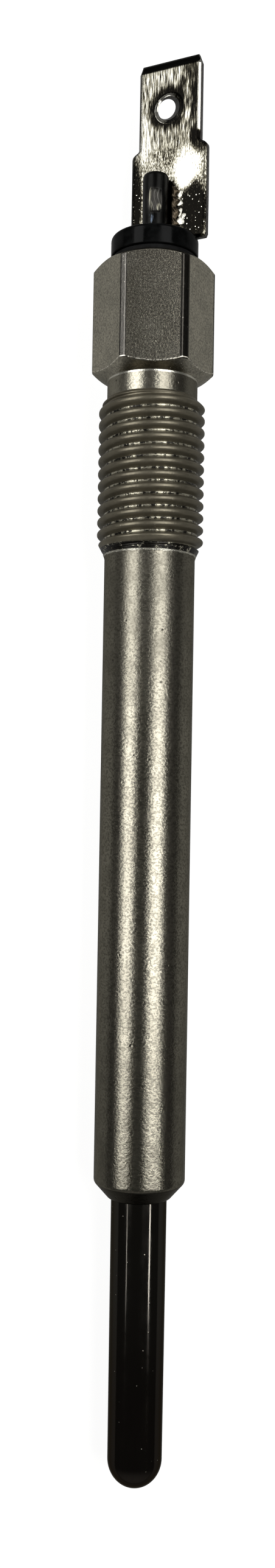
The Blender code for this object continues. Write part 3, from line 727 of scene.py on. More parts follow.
def sheath_alloy(s, c):
    """Drawn dark alloy: faint lines along it, a browner hot end, and a few small light flecks."""
    made = new_finish("sheath_alloy", s, tint=(0.50, 0.48, 0.45))
    h = heights(s, MM)
    lines, _ = use(drawn_lines(), made.place, (5.0, 5.0, 0.5))
    patches, flecks = use(wear_marks(), made.place, 0.5, 2.0, 0.22, 0.14)
    hot = split(made.place)[2].ramp(h.sheath_tip + 20.0, h.sheath_tip + 7.0)
    base = mix(hot, c.sheath_dark, c.sheath_burnt)
    base = mix(lines * 0.3, base, c.sheath_line)
    base = mix(flecks * 0.8, base, c.sheath_fleck)
    rough = patches.ramp(0.0, 1.0, 0.08, 0.13, "LINEAR") + flecks * 0.35
    return finished(made, base, rough, lines * 0.35 + flecks, 0.004)


BLADE_STAINS_AND_PAINTED_LIGHT = (
    # stains mixed with painted shade; the entries that make it lighter are painted highlights
    # across from the blade's centre line, height, half width, half height in mm, and how much darker
    (2.10, 16.9, 1.00, 2.80, 0.105),
    (2.60, 14.3, 0.50, 3.00, 0.090),
    (3.10, 11.8, 0.85, 1.40, 0.13),
    (2.60, 4.90, 1.30, 2.90, 0.20),
    (-3.45, 6.9, 0.70, 3.60, 0.17),
    (-3.10, 5.4, 0.22, 1.90, 0.20),
    (0.50, 5.0, 0.80, 2.60, 0.18),
    (-2.50, 12.6, 0.60, 2.20, -0.09),
    (0.60, 11.2, 2.00, 1.60, 0.03),
    (1.95, 9.4, 1.35, 1.90, -0.11),
    (1.75, 8.6, 0.85, 1.50, -0.10),
)
HOLE_LIGHT = (1.75, 15.4, 0.60, 1.60, -0.15)  # painted highlight beside the hole, given as the stains are


def blade_stain_and_painted_light(place, tip, hole_height):
    """How much darker the blade is: stains with painted shade and highlights, painted shade round the hole,
    the tip and a painted highlight on the right edge.
    """
    x, _, z = split(place)
    across, along = x + 0.03, z - hole_height
    ring = from_axis(across, along)
    dish_edge = DISH_RADIUS / MM
    # painted shade round the hole, with a painted highlight beside it
    hole_shade_and_highlight = ring.ramp(2.45, 1.45) * 0.19 + spots(place, (HOLE_LIGHT,))
    hole_shade_and_highlight = hole_shade_and_highlight * ring.ramp(dish_edge - 0.04, dish_edge + 0.02)
    # painted shade line at the dish's edge
    line = ring.ramp(dish_edge - 0.02, dish_edge + 0.02) * ring.ramp(dish_edge + 0.14, dish_edge + 0.08)
    # in the dish, a painted highlight on the left and painted shade on the right
    side = (across - along * 0.4).ramp(-0.4, 0.5, -0.16, 0.13)
    dish = ring.ramp(dish_edge, dish_edge - 0.05) * side + line * 0.13
    # painted shade on the tip's chamfer
    tip_shade = z.ramp(tip - 0.82, tip - 0.68) * x.ramp(3.05, 2.9)
    # painted highlight along the right edge
    edge = x.ramp(2.87, 2.92) * z.ramp(12.3, 12.8)
    stain_and_painted_light = (spots(place, BLADE_STAINS_AND_PAINTED_LIGHT) + hole_shade_and_highlight + dish) * (1.0 - edge)
    return stain_and_painted_light - edge * 0.22 + tip_shade


def blade_plate(s, c):
    """Bright rolled strip, streaked along the blade, with dark stains, painted shade and painted highlights,
    a tip painted dark as shade and greyer side walls.
    """
    made = new_finish("blade_plate", s, blade=True)
    h = heights(s, MM)
    centred = vector_math("SUBTRACT", made.place, (BLADE_OFFSET / MM, 0.0, 0.0))
    _, depth, z = split(made.place)
    lines, _ = use(drawn_lines(), made.place, (11.0, 11.0, 0.8))
    grain, _ = use(drawn_lines(), made.place, (11.0, 11.0, 4.0))
    _, dots = use(wear_marks(), made.place, 0.6, 3.6, 0.5, 0.25)
    share = z.ramp(13.0, 10.0) * 0.65
    streaks = Value(add(made.tree, "ShaderNodeMix", {0: share, 2: lines, 3: grain}).outputs[0])
    stain_and_painted_light = blade_stain_and_painted_light(centred, h.blade_tip, h.blade_tip - HOLE_BELOW_TIP / MM - 0.05)
    # tone from the streaks less the stains, painted shade and painted highlights, plus the dots
    level = streaks - stain_and_painted_light + dots * z.ramp(9.5, 8.0, 0.0, 0.8)
    tones = ((0.38, c.blade_dark_stain_and_shade), (0.46, c.blade_brown), (0.52, c.blade_cream), (0.63, c.blade_bright_and_highlight))
    chamfer_end = (PIN_TO_BLADE + s.blade_edge) / MM
    wall = depth.ramp(chamfer_end - 0.04, chamfer_end + 0.03)
    base = mix(wall, toned(level, tones), mix(grain.ramp(0.38, 0.6), c.blade_wall, c.blade_wall_light))
    flat = 1.0 - depth.ramp(PIN_TO_BLADE / MM + 0.03, PIN_TO_BLADE / MM + 0.06)
    rough = level.ramp(0.35, 0.55, 0.30, 0.17) + wall * 0.12
    return finished(made, base, rough, streaks * flat, 0.010)


def pin_steel(s, c):
    """Dark rolled steel with a painted highlight down its left, worn bare in the press mark, with blue
    scratches below.
    """
    made = new_finish("pin_steel", s)
    middle = heights(s, MM).bush_top + PRESS_MARK_RISE
    x, y, _ = split(made.place)
    lines, broad = use(drawn_lines(), made.place, (6.0, 6.0, 0.9))
    front = y.math("LESS_THAN", 0.0)
    rubbed_and_highlight = ((-0.42, middle + 0.1, 0.20, 0.95, 1.0), (0.30, middle - 0.62, 0.20, 0.32, 0.7))
    bare = spots(made.place, rubbed_and_highlight) * broad.ramp(0.42, 0.60) * front
    window = spots(made.place, ((-0.1, middle, 0.66, 1.05, 0.8),)) * front
    below = spots(made.place, ((-0.55, middle - 1.75, 0.42, 0.45, 1.0),))
    scratch = below * front * lines.ramp(0.54, 0.64)
    base = mix(lines * 0.3, c.pin_steel, c.pin_line)
    # painted highlight down the pin's left side
    base = mix(x.ramp(-0.50, -0.80), base, c.pin_left_highlight)
    base = mix(window, base, c.pin_window)
    base = mix(bare * 0.7, base, c.pin_mark)
    base = mix(scratch * 0.5, base, c.pin_scratch)
    return finished(made, base, lines.ramp(0.3, 0.7, 0.30, 0.46), lines + bare, 0.006)


def black_moulding(name, tone, roughness, s):
    """Moulded black: a faint flow pattern in its gloss and a very fine skin."""
    made = new_finish(name, s, roughness, 0.0, 0.045)
    flow = noise(made.place, 0.9)
    lighter = tuple(2.5 * part + 0.001 for part in tone)
    base = mix(flow.ramp(0.35, 0.7), tone, lighter)
    rough = flow.ramp(0.3, 0.7, roughness - 0.06, roughness + 0.10)
    return finished(made, base, rough, noise(made.place, 14.0, 2.0), 0.002)


def weld_tint(s, c):
    """Heat-tinted weld metal, from brown to nearly black in small cells."""
    made = new_finish("weld_tint", s, blade=True)
    lumps = noise(made.place, 2.6, 4.0, 0.6)
    base = mix(lumps.ramp(0.38, 0.62), c.weld_dark, c.weld_brown)
    return finished(made, base, lumps.ramp(0.3, 0.7, 0.32, 0.55), lumps, 0.05)


def weld_bright(s, c):
    """Bright beads of weld metal with a slightly uneven skin."""
    made = new_finish("weld_bright", s, 0.45, blade=True)
    skin = noise(made.place, 3.5)
    base = mix(skin.ramp(0.35, 0.55), tuple(0.6 * part for part in c.weld_bright), c.weld_bright)
    return finished(made, base, skin.ramp(0.3, 0.7, 0.38, 0.55), skin, 0.03)


def plain_inside(name, tone, roughness, metallic, scale, s):
    """Finish of a piece inside the plug: its colour broken up by grain."""
    made = new_finish(name, s, roughness, metallic)
    grain = noise(made.place, scale)
    base = mix(grain.ramp(0.3, 0.7), tuple(0.75 * part for part in tone), tone)
    return finished(made, base, grain.ramp(0.3, 0.7, roughness - 0.08, roughness + 0.08), grain, 0.01)


# Shapes


def body_angles():
    """Angles of the columns round the body, from one hexagon corner to the next, closer at the corners."""
    half = np.array([0, 1.0, 1.6, 2.0, 2.3, 2.6, 2.9, 3.2, 3.6, 4.2, 5.5, 8, 11, 14, 17, 20, 23.5, 27, 30])
    flat = np.concatenate((half, 60 - half[-2:0:-1]))
    around = (60 * np.arange(6)[:, None] + flat).ravel()
    return np.radians(np.append(around, 360.0))


def hexagon_radius(angles, s):
    """Distance of the hexagon's side from the axis at each angle.

    It is half the flats over the cosine of the angle from the nearest flat, cut at each corner by a plane
    whose distance follows from the width of the narrow face, with the two blended softly.
    """
    from_flat = np.degrees(angles) % 60 - 30
    flat = s.hex_flats / 2
    side = flat / np.cos(np.radians(from_flat))
    cut = flat / math.cos(math.pi / 6) - s.hex_corner / 2 * math.tan(math.pi / 6)
    corner = cut / np.cos(np.radians(30 - np.abs(from_flat)))
    return soft_min(side, corner, 0.045 * MM)


def thread_rows(angles, s, h):
    """Radius and height of the threaded length's rows, which follow the right-hand helix.

    The form goes from crest to root with straight flanks: the share of the depth is the distance to the
    root's edge over the flank's width, held between 0 and 1, gently at the round crest. It is kept under a
    45-degree lead-in above, and under the run-out's gentle rise below.
    """
    turn = angles / math.tau
    shares = np.array(ROW_SHARES)
    shares = np.concatenate((shares, [0.5], 1 - shares[:0:-1]))
    turns_down = int(s.thread_length / s.pitch) + 4
    offsets = (np.arange(turns_down)[:, None] + shares).ravel()[:, None]
    start = h.thread_top - s.first_crest - 0.5 * s.pitch
    height = start + (turn + 2 - offsets) * s.pitch
    height = np.clip(height, h.thread_end, h.thread_top)
    phase = (turn - (height - start) / s.pitch) % 1.0
    to_crest = np.minimum(phase, 1 - phase)
    flank = (0.5 - THREAD_ROOT / 2 - to_crest) / (0.5 - THREAD_ROOT / 2 - THREAD_CREST / 2)
    form = soft_min(soft_max(flank, 0.0, 0.12), 1.0, 0.45)
    radius = s.thread / 2 - s.thread_depth * (1 - form)
    body = s.body / 2
    lead_in = body + (h.thread_top - height)
    faded = np.clip((height - h.thread_end - RUNOUT_FOOT) / (s.runout - RUNOUT_FOOT), 0.0, None)
    runout = body + (s.thread / 2 - body) * faded**1.3
    radius = soft_min(radius, lead_in, 0.06 * MM)
    radius = soft_min(radius, runout, 0.10 * MM)
    radius = np.maximum(radius, body)
    return np.stack((radius, height), axis=-1)


def housing_rows(angles, s, h):
    """Profile rows of the whole steel body, from the counterbore over the head, down outside and up the bore.

    A plain row just beside each end of the thread keeps the shading of the neck and the barrel straight.
    """
    columns = len(angles)
    side = hexagon_radius(angles, s)
    slope = math.tan(HEAD_CONE)
    face, body, edge = s.hex_face / 2, s.body / 2, s.edge
    bore, rod_bore = s.counterbore / 2, s.rod_bore / 2
    sheath_hole = s.sheath / 2 + h.seat
    step = h.sheath_mouth + h.seat
    head = [
        (bore, -s.counterbore_depth),
        (bore, 0.0),
        (face, 0.0),
        (side, -(side - face) * slope),
        (side, h.hex_base + (side - body) * slope),
        (body, h.hex_base),
        (body, h.thread_top + 0.05 * MM),
        (body, h.thread_top),
    ]
    tail = [
        (body, h.thread_end),
        (body, h.thread_end - 0.05 * MM),
        (body, h.nose_top),
        (s.nose_end / 2, h.nose_end),
        (sheath_hole, h.nose_end),
        (sheath_hole, step),
        (rod_bore, step),
        (rod_bore, -s.counterbore_depth),
    ]
    head = eased(profile(head, columns), (0.0, 0.05 * MM, edge, edge, edge, 0.06 * MM, 0.0, 0.0))
    tail = eased(profile(tail, columns), (0.0, 0.0, 0.22 * MM, 0.14 * MM, 0.04 * MM, 0.0, 0.0, 0.0))
    neck_row = len(head) - 1
    thread = thread_rows(angles, s, h)
    rows = np.concatenate((head, thread, tail))
    finish = np.full(len(rows), BODY_FINISH)
    finish[: neck_row - 5] = HEAD_FINISH
    finish[neck_row : neck_row + len(thread)] = THREAD_FINISH
    return rows, finish


def ring_surface(name, corners, trims, finish, s, node, steps):
    """Closed ring turned from its profile, which runs down outside and up inside."""
    angles = np.linspace(0.0, math.tau, RING_COLUMNS + 1)
    rows = eased(profile(corners, len(angles)), trims, steps)
    quads = grid_quads(len(rows), len(angles), ring=True)
    return add_piece(name, laid_down(spun(rows, angles), s), quads, [finish], (node,))


def sheath_surface(s, h):
    """Tube with a round tip: two quarter circles about the tip's middle, joined at the mouth, turned round.

    The tube is slightly wider at the nose than at its tip. Its wall is a closed skin on either side of the
    tip, so the strip between its two poles is left out.
    """
    outer, inner = s.sheath / 2, s.sheath / 2 - s.sheath_wall
    dome = h.sheath_tip + outer
    down = np.radians(np.linspace(0.0, 90.0, TIP_ROWS))[:, None]
    outside = np.concatenate((outer * np.cos(down), dome - outer * np.sin(down)), axis=1)
    inside = np.concatenate((inner * np.cos(down[::-1]), dome - inner * np.sin(down[::-1])), axis=1)
    mouth = np.array([[inner, h.sheath_mouth], [outer, h.sheath_mouth]])
    run = np.linspace(h.sheath_mouth - 0.1 * MM, dome + 0.1 * MM, SHEATH_ROWS)
    run = np.stack((np.full(SHEATH_ROWS, outer), run), axis=-1)
    rows = np.concatenate((mouth, run, outside, inside))
    rows[:, 0] *= np.interp(rows[:, 1], [h.sheath_tip, h.nose_end], SHEATH_TAPER)
    angles = np.linspace(0.0, math.tau, SHEATH_COLUMNS + 1)
    pole = len(mouth) + len(run) + len(outside) - 1
    quads = grid_quads(len(rows), len(angles), ring=True)
    quads = np.delete(quads, np.s_[pole * SHEATH_COLUMNS : (pole + 1) * SHEATH_COLUMNS], axis=0)
    return spun(np.broadcast_to(rows[:, None], (len(rows), len(angles), 2)), angles), quads


def electrode_rows(s, h):
    """Profile of the rod from the top of its pin to its foot, in the coils."""
    pin, rod = s.pin / 2, s.rod / 2
    shoulder = h.skirt_end - h.seat
    spigot = h.sheath_mouth + h.seat
    corners = [
        (0.0, h.pin_top),
        (pin, h.pin_top),
        (pin, shoulder),
        (rod, shoulder),
        (rod, spigot),
        (pin, spigot),
        (pin, h.rod_foot),
        (0.0, h.rod_foot),
    ]
    trims = (0.0, 0.42 * MM, 0.0, 0.05 * MM, 0.05 * MM, 0.0, 0.1 * MM, 0.0)
    return eased(profile(corners, 1), trims, 8)[:, 0]


def pin_surface(s, h):
    """Pin and rod: the turned radius, flattened behind where the blade is welded, and pressed in in front.

    A flat limits the radius to its distance over the cosine of the angle from its middle. The press mark is
    such a flat too, that is blended in over its height and width, with a few low ridges left by the tool.
    """
    angles = np.linspace(0.0, math.tau, PIN_COLUMNS + 1)
    rows = electrode_rows(s, h)
    fine = np.linspace(h.pin_top - 0.75 * MM, h.bush_top + 0.02 * MM, PIN_ROWS)
    fine = np.stack((np.full(PIN_ROWS, s.pin / 2), fine), axis=-1)
    below = int(np.argmax(rows[:, 1] < h.pin_top - 0.74 * MM))
    rows = np.concatenate((rows[:below], fine, rows[below:]))
    radius = np.broadcast_to(rows[:, :1], (len(rows), len(angles)))
    height = np.broadcast_to(rows[:, 1:], radius.shape)
    back = np.cos(angles - (math.pi / 2 - BLADE_TURN))
    flat = PIN_TO_BLADE - h.seat
    cut = np.where(back > 0.2, flat / np.maximum(back, 0.2), 1.0)
    above_bush = height > h.bush_top + 0.5 * h.seat
    radius = np.where(above_bush, soft_min(radius, cut, 0.03 * MM), radius)
    front = np.cos(angles + math.pi / 2)
    x = radius * np.cos(angles)
    middle = h.bush_top + PRESS_MARK_RISE * MM
    pressed = (s.pin / 2 - PRESS_MARK_DEPTH) / np.maximum(front, 0.3)
    ridges = RIDGE_HEIGHT * np.sin(x / MM * 17.0 + 3.0 * np.sin(height / MM * 2.3))
    window = smooth_step(PRESS_MARK_HALF[0] - np.abs(x + 0.1 * MM), 0.0, FINE_EDGE) * (front > 0.3)
    window = window * smooth_step(PRESS_MARK_HALF[1] - np.abs(height - middle), 0.0, FINE_EDGE)
    radius = radius - window * np.maximum(radius - pressed + ridges, 0.0)
    return spun(np.stack((radius, height), axis=-1), angles)


def blade_outline(height, inset, s, h):
    """Half the blade's width at a height, less the inset: root corners, rounded shoulders and tapered tip."""
    root, blade = s.root_width / 2, s.blade_width / 2
    lower = np.array([step[0] for step in SHOULDER_FORM]) * MM - 0.66 * inset
    wider = np.array([step[1] for step in SHOULDER_FORM]) * (root - blade)
    foot = h.blade_foot + np.array([0.0, 0.10, 0.35]) * MM
    at = np.concatenate((foot, h.shoulder + lower, [h.blade_tip - TIP_TAPER, h.blade_tip]))
    half = [root - 0.35 * MM, root - 0.12 * MM, root, *(blade + wider), blade, blade - 0.30 * MM]
    return np.interp(height, at, half) - inset


def blade_sheet(s, h):
    """Points (across, height, depth of the dish) and quads of the blade's flat face with its hole.

    The face stops short of the outline by the width of the chamfer. A square patch holds the hole: its lines
    go out from the hole's circle over the dish, whose middle is a little to the side, and blend in equal
    steps into the square. Plain rows, scaled to the outline's width, fill the rest above and below.
    """
    inset = s.blade_edge
    half = s.blade_width / 2 - inset
    hole_height = h.blade_tip - HOLE_BELOW_TIP
    across = np.linspace(-1.0, 1.0, SHEET_COLUMNS + 1)
    shoulder = h.shoulder - 0.66 * inset + np.array([step[0] for step in SHOULDER_FORM]) * MM
    low = np.concatenate(
        (
            h.blade_foot + np.array([inset / MM, 0.35, 0.45]) * MM,
            np.linspace(h.blade_foot + 0.8 * MM, shoulder[0] - 0.2 * MM, 24),
            shoulder,
            [hole_height - half],
        )
    )
    high = h.blade_tip - np.array([1.1, 0.93, 0.85, 0.78, 0.5, inset / MM]) * MM
    high = np.concatenate(([hole_height + half], high))
    blocks = []
    for levels in (low, high):
        x = across * blade_outline(levels, inset, s, h)[:, None]
        z = np.broadcast_to(levels[:, None], x.shape)
        quads = grid_quads(*x.shape)[:, ::-1]
        blocks.append((np.stack((x, z, 0.0 * x), axis=-1).reshape(-1, 3), quads))
    ones = np.ones(SHEET_COLUMNS)
    run = across[:-1]
    square_x = np.concatenate((run, ones, -run, -ones, [-1.0]))
    square_z = np.concatenate((-ones, run, ones, -run, [-1.0]))
    bearing = np.arctan2(square_z, square_x)
    circle = np.stack((np.cos(bearing), np.sin(bearing)), axis=-1)
    square = np.stack((square_x, square_z), axis=-1) * half
    out = np.array([0.0, 0.10, 0.35, 0.65, 0.90, 1.0, 1.06])[:, None, None]
    rim = s.blade_hole / 2 + HOLE_EDGE
    inner = (rim + (DISH_RADIUS - rim) * out) * circle + np.array(HOLE_OFF) * np.maximum(1 - out, 0.0)
    dish = np.clip(1 - out, 0.0, 1.0) + 0.0 * inner[..., :1]
    wide = np.linspace(0.0, 1.0, 9)[1:, None, None]
    outer = inner[-1] * (1 - wide) + square * wide
    inner = np.concatenate((inner, dish), axis=-1)
    outer = np.concatenate((outer, 0.0 * outer[..., :1]), axis=-1)
    patch = np.concatenate((inner, outer))
    quads = grid_quads(*patch.shape[:2])
    patch = patch.reshape(-1, 3) + np.array([0.0, hole_height, 0.0])
    blocks.append((patch, quads))
    points = np.concatenate([block[0] for block in blocks])
    starts = np.cumsum([0] + [len(block[0]) for block in blocks[:-1]])
    quads = np.concatenate([block[1] + start for block, start in zip(blocks, starts)])
    keys = np.round(points[:, :2] / SAME_PLACE)
    _, first, same = np.unique(keys, axis=0, return_index=True, return_inverse=True)
    return points[first], same.ravel()[quads]


def ways_out(flat, free):
    """The way out of each point of the sheet's free edges that keeps both its edges parallel."""
    along = unit(flat[free[:, 1]] - flat[free[:, 0]])
    out = np.stack((along[:, 1], -along[:, 0]), axis=-1)
    before, after = np.zeros_like(flat), np.zeros_like(flat)
    after[free[:, 0]] = out
    before[free[:, 1]] = out
    return (before + after) / np.maximum(1.0 + np.sum(before * after, axis=1), 0.5)[:, None]


def leaned(flat, h):
    """The back of the sheet round the hole: shifted and drawn in, less so further from the hole's edge."""
    middle = np.array([HOLE_OFF[0], h.blade_tip - HOLE_BELOW_TIP + HOLE_OFF[1]])
    away = flat - middle
    distance = np.hypot(away[:, 0], away[:, 1])[:, None]
    near = np.clip(1.0 - (distance - HOLE_REACH[0]) / HOLE_REACH[1], 0.0, 1.0)
    return flat + near * (np.array(HOLE_LEAN) - HOLE_DRAWN * away / np.maximum(distance, 1e-9))


def blade_surface(s, h):
    """Front and back of the blade's sheet with chamfered walls along every free edge.

    Half the thickness falls off to the tip and in the dish round the hole. The whole sheet is bowed a little,
    by products of slow sines, as punched strip is. The rows of the walls go out by a share of the chamfer and
    back by another, and round its two corners. The back's chamfer is narrow, so its face reaches further out.
    """
    sheet, quads = blade_sheet(s, h)
    flat = sheet[:, :2]
    x, z = flat[:, 0], flat[:, 1]
    thick = s.blade_thickness / 2
    half = np.interp(z, [h.blade_tip - TIP_TAPER, h.blade_tip], [thick, TIP_THICKNESS / 2])
    front = half - DISH_DEPTH * smooth_step(sheet[:, 2], -0.15, 1.15) * (sheet[:, 2] > 0)
    bow = BOW * np.sin(x / MM * 1.1 + 0.4) * np.cos(z / MM * 0.55)
    middle = PIN_TO_BLADE + thick + bow
    count = len(flat)
    edges = np.stack((quads, np.roll(quads, -1, axis=1)), axis=-1).reshape(-1, 2)
    edges = edges[edges[:, 0] != edges[:, 1]]
    _, at, times = np.unique(np.sort(edges, axis=1), axis=0, return_inverse=True, return_counts=True)
    free = edges[times[at.ravel()] == 1]
    rim = free[:, 0]
    out = ways_out(flat, free)[rim]
    to_hole = np.hypot(x[rim], z[rim] - h.blade_tip + HOLE_BELOW_TIP)
    reach = np.where(to_hole < DISH_RADIUS, HOLE_EDGE, s.blade_edge)[:, None]
    behind = leaned(flat, h)
    layers = [np.stack((x + BLADE_OFFSET, middle - front, z), axis=-1)]
    rows = [(*form, -1.0) for form in EDGE_FORM] + [(*form, 1.0) for form in reversed(EDGE_FORM)]
    for go, back, side in rows:
        edge = reach if side < 0 else np.minimum(reach, BACK_EDGE)
        start, depth = (flat, front) if side < 0 else (behind, half)
        fall = np.minimum(edge, 0.6 * depth[rim, None])
        place = start[rim] + out * (reach - edge * (1.0 - go))
        depth = middle[rim, None] + side * (depth[rim, None] - fall * back)
        layers.append(np.concatenate((place[:, :1] + BLADE_OFFSET, depth, place[:, 1:]), axis=-1))
    behind[rim] += out * (reach - np.minimum(reach, BACK_EDGE))
    layers.append(np.stack((behind[:, 0] + BLADE_OFFSET, middle + half, behind[:, 1]), axis=-1))
    slot = np.zeros(count, dtype=int)
    slot[rim] = np.arange(len(rim))
    here, there = slot[free[:, 0]], slot[free[:, 1]]
    last = count + len(rows) * len(rim)
    rings = [(free[:, 0], free[:, 1])]
    rings += [(count + k * len(rim) + here, count + k * len(rim) + there) for k in range(len(rows))]
    rings += [(last + free[:, 0], last + free[:, 1])]
    walls = [np.stack((b, a, c, d), axis=-1) for (a, b), (c, d) in zip(rings, rings[1:])]
    return np.concatenate(layers), np.concatenate((quads, quads[:, ::-1] + last, *walls))


def bead_surface(s, h):
    """Weld bead: half ellipses along the pin that swell into lobes, with a flat back on the blade's face.

    The size of each half ellipse is a taper, the square root of one less the sixth power of the distance from
    the middle, times a swell that follows the cosine of the lobes, with slower waves that make it uneven.
    """
    along = np.linspace(0.0, 1.0, 97)[:, None]
    around = np.linspace(0.0, 1.0, 33)
    taper = np.sqrt(np.maximum(0.0, 1 - np.abs(2 * along - 1) ** 6))
    swell = 1 - 0.22 * (1 + np.cos(math.tau * BEAD_LOBES * along + 0.5 * np.sin(9.0 * along)))
    half = BEAD_HALF * taper * swell
    rise = BEAD_RISE * taper * (0.7 + 0.3 * swell)
    angle = math.pi * np.minimum(around / BEAD_FRONT, 1.0)
    flat_back = np.clip((around - BEAD_FRONT) / (1.0 - BEAD_FRONT), 0.0, 1.0)
    side = np.where(around > BEAD_FRONT, 1 - 2 * flat_back, -np.cos(angle))
    x = s.pin / 2 + h.seat + half + half * side
    wave = 1 + 0.10 * np.sin(31.0 * along + 5.0 * side)
    y = PIN_TO_BLADE - h.seat - rise * np.sin(angle) * wave * (around <= BEAD_FRONT)
    z = h.bush_top + BEAD_START + BEAD_LENGTH * along + 0.0 * x
    return np.stack((x, y, z), axis=-1)


def lobe_surface():
    """Low rounded beads on the blade's face: spheres flattened, stretched and leaned, and a little uneven."""
    low, high = np.linspace(0.0, math.pi, 13)[:, None], np.linspace(0.0, math.tau, 25)
    table = np.array(LOBES)[:, None, None, :]
    a = np.sin(low) * np.cos(high) * table[..., 2]
    b = np.sin(low) * np.sin(high) * table[..., 3]
    uneven = 1 + 0.14 * np.sin(3 * high + 5 * table[..., 0]) * np.sin(low)
    a, b = a * uneven, b * uneven
    c, n = np.cos(table[..., 4]), np.sin(table[..., 4])
    x = table[..., 0] + a * c - b * n
    z = table[..., 1] + a * n + b * c
    y = PIN_TO_BLADE / MM - LOBE_LIFT - LOBE_RISE * np.cos(low) + 0.0 * x
    return np.stack((x, y, z), axis=-1) * MM


# Stage


LAMPS = (
    # name, bearing and half spread in degrees, share of the level, and where it starts and ends along Y in mm
    ("left_strip", -42.5, 12.5, 1.0, -95.0, 212.0),
    ("right_strip", 28.5, 13.5, 1.0, -95.0, 25.0),
    ("right_far_strip", 28.5, 13.5, 0.72, 25.0, 212.0),
    ("left_low_strip", -47.0, 1.2, 1.4, -128.0, -102.0),
    ("right_low_strip", 47.5, 2.0, 3.6, -128.0, -102.0),
)
LAMP_DISTANCE = 220 * MM  # from the plug's axis
FLOOR_REACH = 3.0  # m, half the floor's width
FLOOR_FADE = (0.15, 0.5)  # m from the middle, over which the floor turns white for the camera
FLOOR_GRAIN = 400.0  # cells per m
ROOM_FADE = (0.45, 0.95)  # of the direction along the plug, over which the room's ends get lighter
WHITE_IN_METAL = 0.02  # share of the camera's white room that reflections see
CAMERA_FOOT = -50.8 * MM  # height on the plug's axis that the camera stands over
CAMERA_PITCH = math.radians(1.25)  # towards the blade
CAMERA_ROLL = math.radians(0.972)
CAMERA_SIDE = -0.764 * MM


def strip_lamp(stage, name, bearing, spread, share, start, end):
    """Long soft lamp aimed at the plug. Its power is the level times pi times its area."""
    angle = math.radians(bearing)
    back = Vector((math.sin(angle), 0.0, math.cos(angle)))
    across = Vector((0.0, 1.0, 0.0)).cross(back)
    data = bpy.data.lights.new(name, "AREA")
    data.shape = "RECTANGLE"
    data.size = 2 * LAMP_DISTANCE * math.tan(math.radians(spread))
    data.size_y = (end - start) * MM
    level = share * (stage.left_level if bearing < 0 else stage.right_level)
    data.energy = level * math.pi * data.size * data.size_y
    place = back * LAMP_DISTANCE + Vector((0.0, (start + end) / 2 * MM, 0.0))
    lamp = bpy.data.objects.new(name, data)
    bpy.context.scene.collection.objects.link(lamp)
    lamp.matrix_world = Matrix.Translation(place) @ Matrix((across, (0, 1, 0), back)).transposed().to_4x4()
    lamp.visible_camera = False


def rays(tree):
    """Whether the camera sees a place, and whether it is seen in metal or through glass."""
    asked = add(tree, "ShaderNodeLightPath").outputs
    mirrored = Value(asked["Is Glossy Ray"]).larger(Value(asked["Is Transmission Ray"]))
    return Value(asked["Is Camera Ray"]), mirrored


def floor_finish(stage):
    """Pale floor with its shadows, lifted to white for the camera and a little for metal."""
    material = bpy.data.materials.new("floor_paper")
    material.use_nodes = True
    tree = material.node_tree
    shader = tree.nodes["Principled BSDF"]
    shader.inputs["Roughness"].default_value = 0.9
    shader.inputs["Specular IOR Level"].default_value = 0.2
    place = Value(add(tree, "ShaderNodeTexCoord").outputs["Object"])
    tone = tuple(stage.floor)
    base = mix(noise(place, FLOOR_GRAIN, 2.0), tone, tuple(1.02 * part for part in tone))
    fill(shader.inputs["Base Color"], base)
    seen, mirrored = rays(tree)
    white = vector_math("LENGTH", place, output=1).ramp(*FLOOR_FADE, stage.floor_white, 1.0)
    lift = mirrored * stage.floor_gloss + seen * white
    glow = add(tree, "ShaderNodeEmission", {"Strength": lift})
    both = add(tree, "ShaderNodeAddShader", {0: Value(shader.outputs[0]), 1: Value(glow.outputs[0])})
    fill(tree.nodes["Material Output"].inputs["Surface"], Value(both.outputs[0]))
    return material


def studio_world(stage):
    """Plain room, lighter beyond the plug's two ends; the camera sees it white."""
    world = bpy.data.worlds.new("studio")
    world.use_nodes = True
    tree = world.node_tree
    tree.nodes.clear()
    seen, mirrored = rays(tree)
    direction = Value(add(tree, "ShaderNodeTexCoord").outputs["Generated"])
    level = split(direction)[1].math("ABSOLUTE").ramp(*ROOM_FADE, stage.room, stage.room_ends)
    dim = add(tree, "ShaderNodeBackground", {"Color": (1.0, 0.985, 0.95), "Strength": level})
    white = add(tree, "ShaderNodeBackground", {"Color": (1.0, 1.0, 1.0), "Strength": 1.0})
    amount = seen.larger(mirrored * WHITE_IN_METAL)
    shaders = {0: amount, 1: Value(dim.outputs[0]), 2: Value(white.outputs[0])}
    both = add(tree, "ShaderNodeMixShader", shaders)
    add(tree, "ShaderNodeOutputWorld", {"Surface": Value(both.outputs[0])})
    return world


def photo_camera(s, stage):
    """Camera straight above the plug's axis, pitched towards the blade and rolled a little."""
    matrix = lying(s)
    along, up = matrix.to_3x3() @ Vector((0, 0, 1)), matrix.to_3x3() @ Vector((0, -1, 0))
    back = up * math.cos(CAMERA_PITCH) - along * math.sin(CAMERA_PITCH)
    top = along * math.cos(CAMERA_PITCH) + up * math.sin(CAMERA_PITCH)
    right = top.cross(back)
    rolled_right = right * math.cos(CAMERA_ROLL) + top * math.sin(CAMERA_ROLL)
    rolled_top = top * math.cos(CAMERA_ROLL) - right * math.sin(CAMERA_ROLL)
    data = bpy.data.cameras.new("photo_camera")
    data.lens = stage.lens
    data.sensor_width = 36.0
    data.clip_start, data.clip_end = 0.01, 10.0
    camera = bpy.data.objects.new("photo_camera", data)
    bpy.context.scene.collection.objects.link(camera)
    place = matrix @ Vector((0, 0, CAMERA_FOOT)) + up * stage.distance + rolled_right * CAMERA_SIDE
    axes = Matrix((rolled_right, rolled_top, back)).transposed().to_4x4()
    camera.matrix_world = Matrix.Translation(place) @ axes
    bpy.context.scene.camera = camera


# Operators


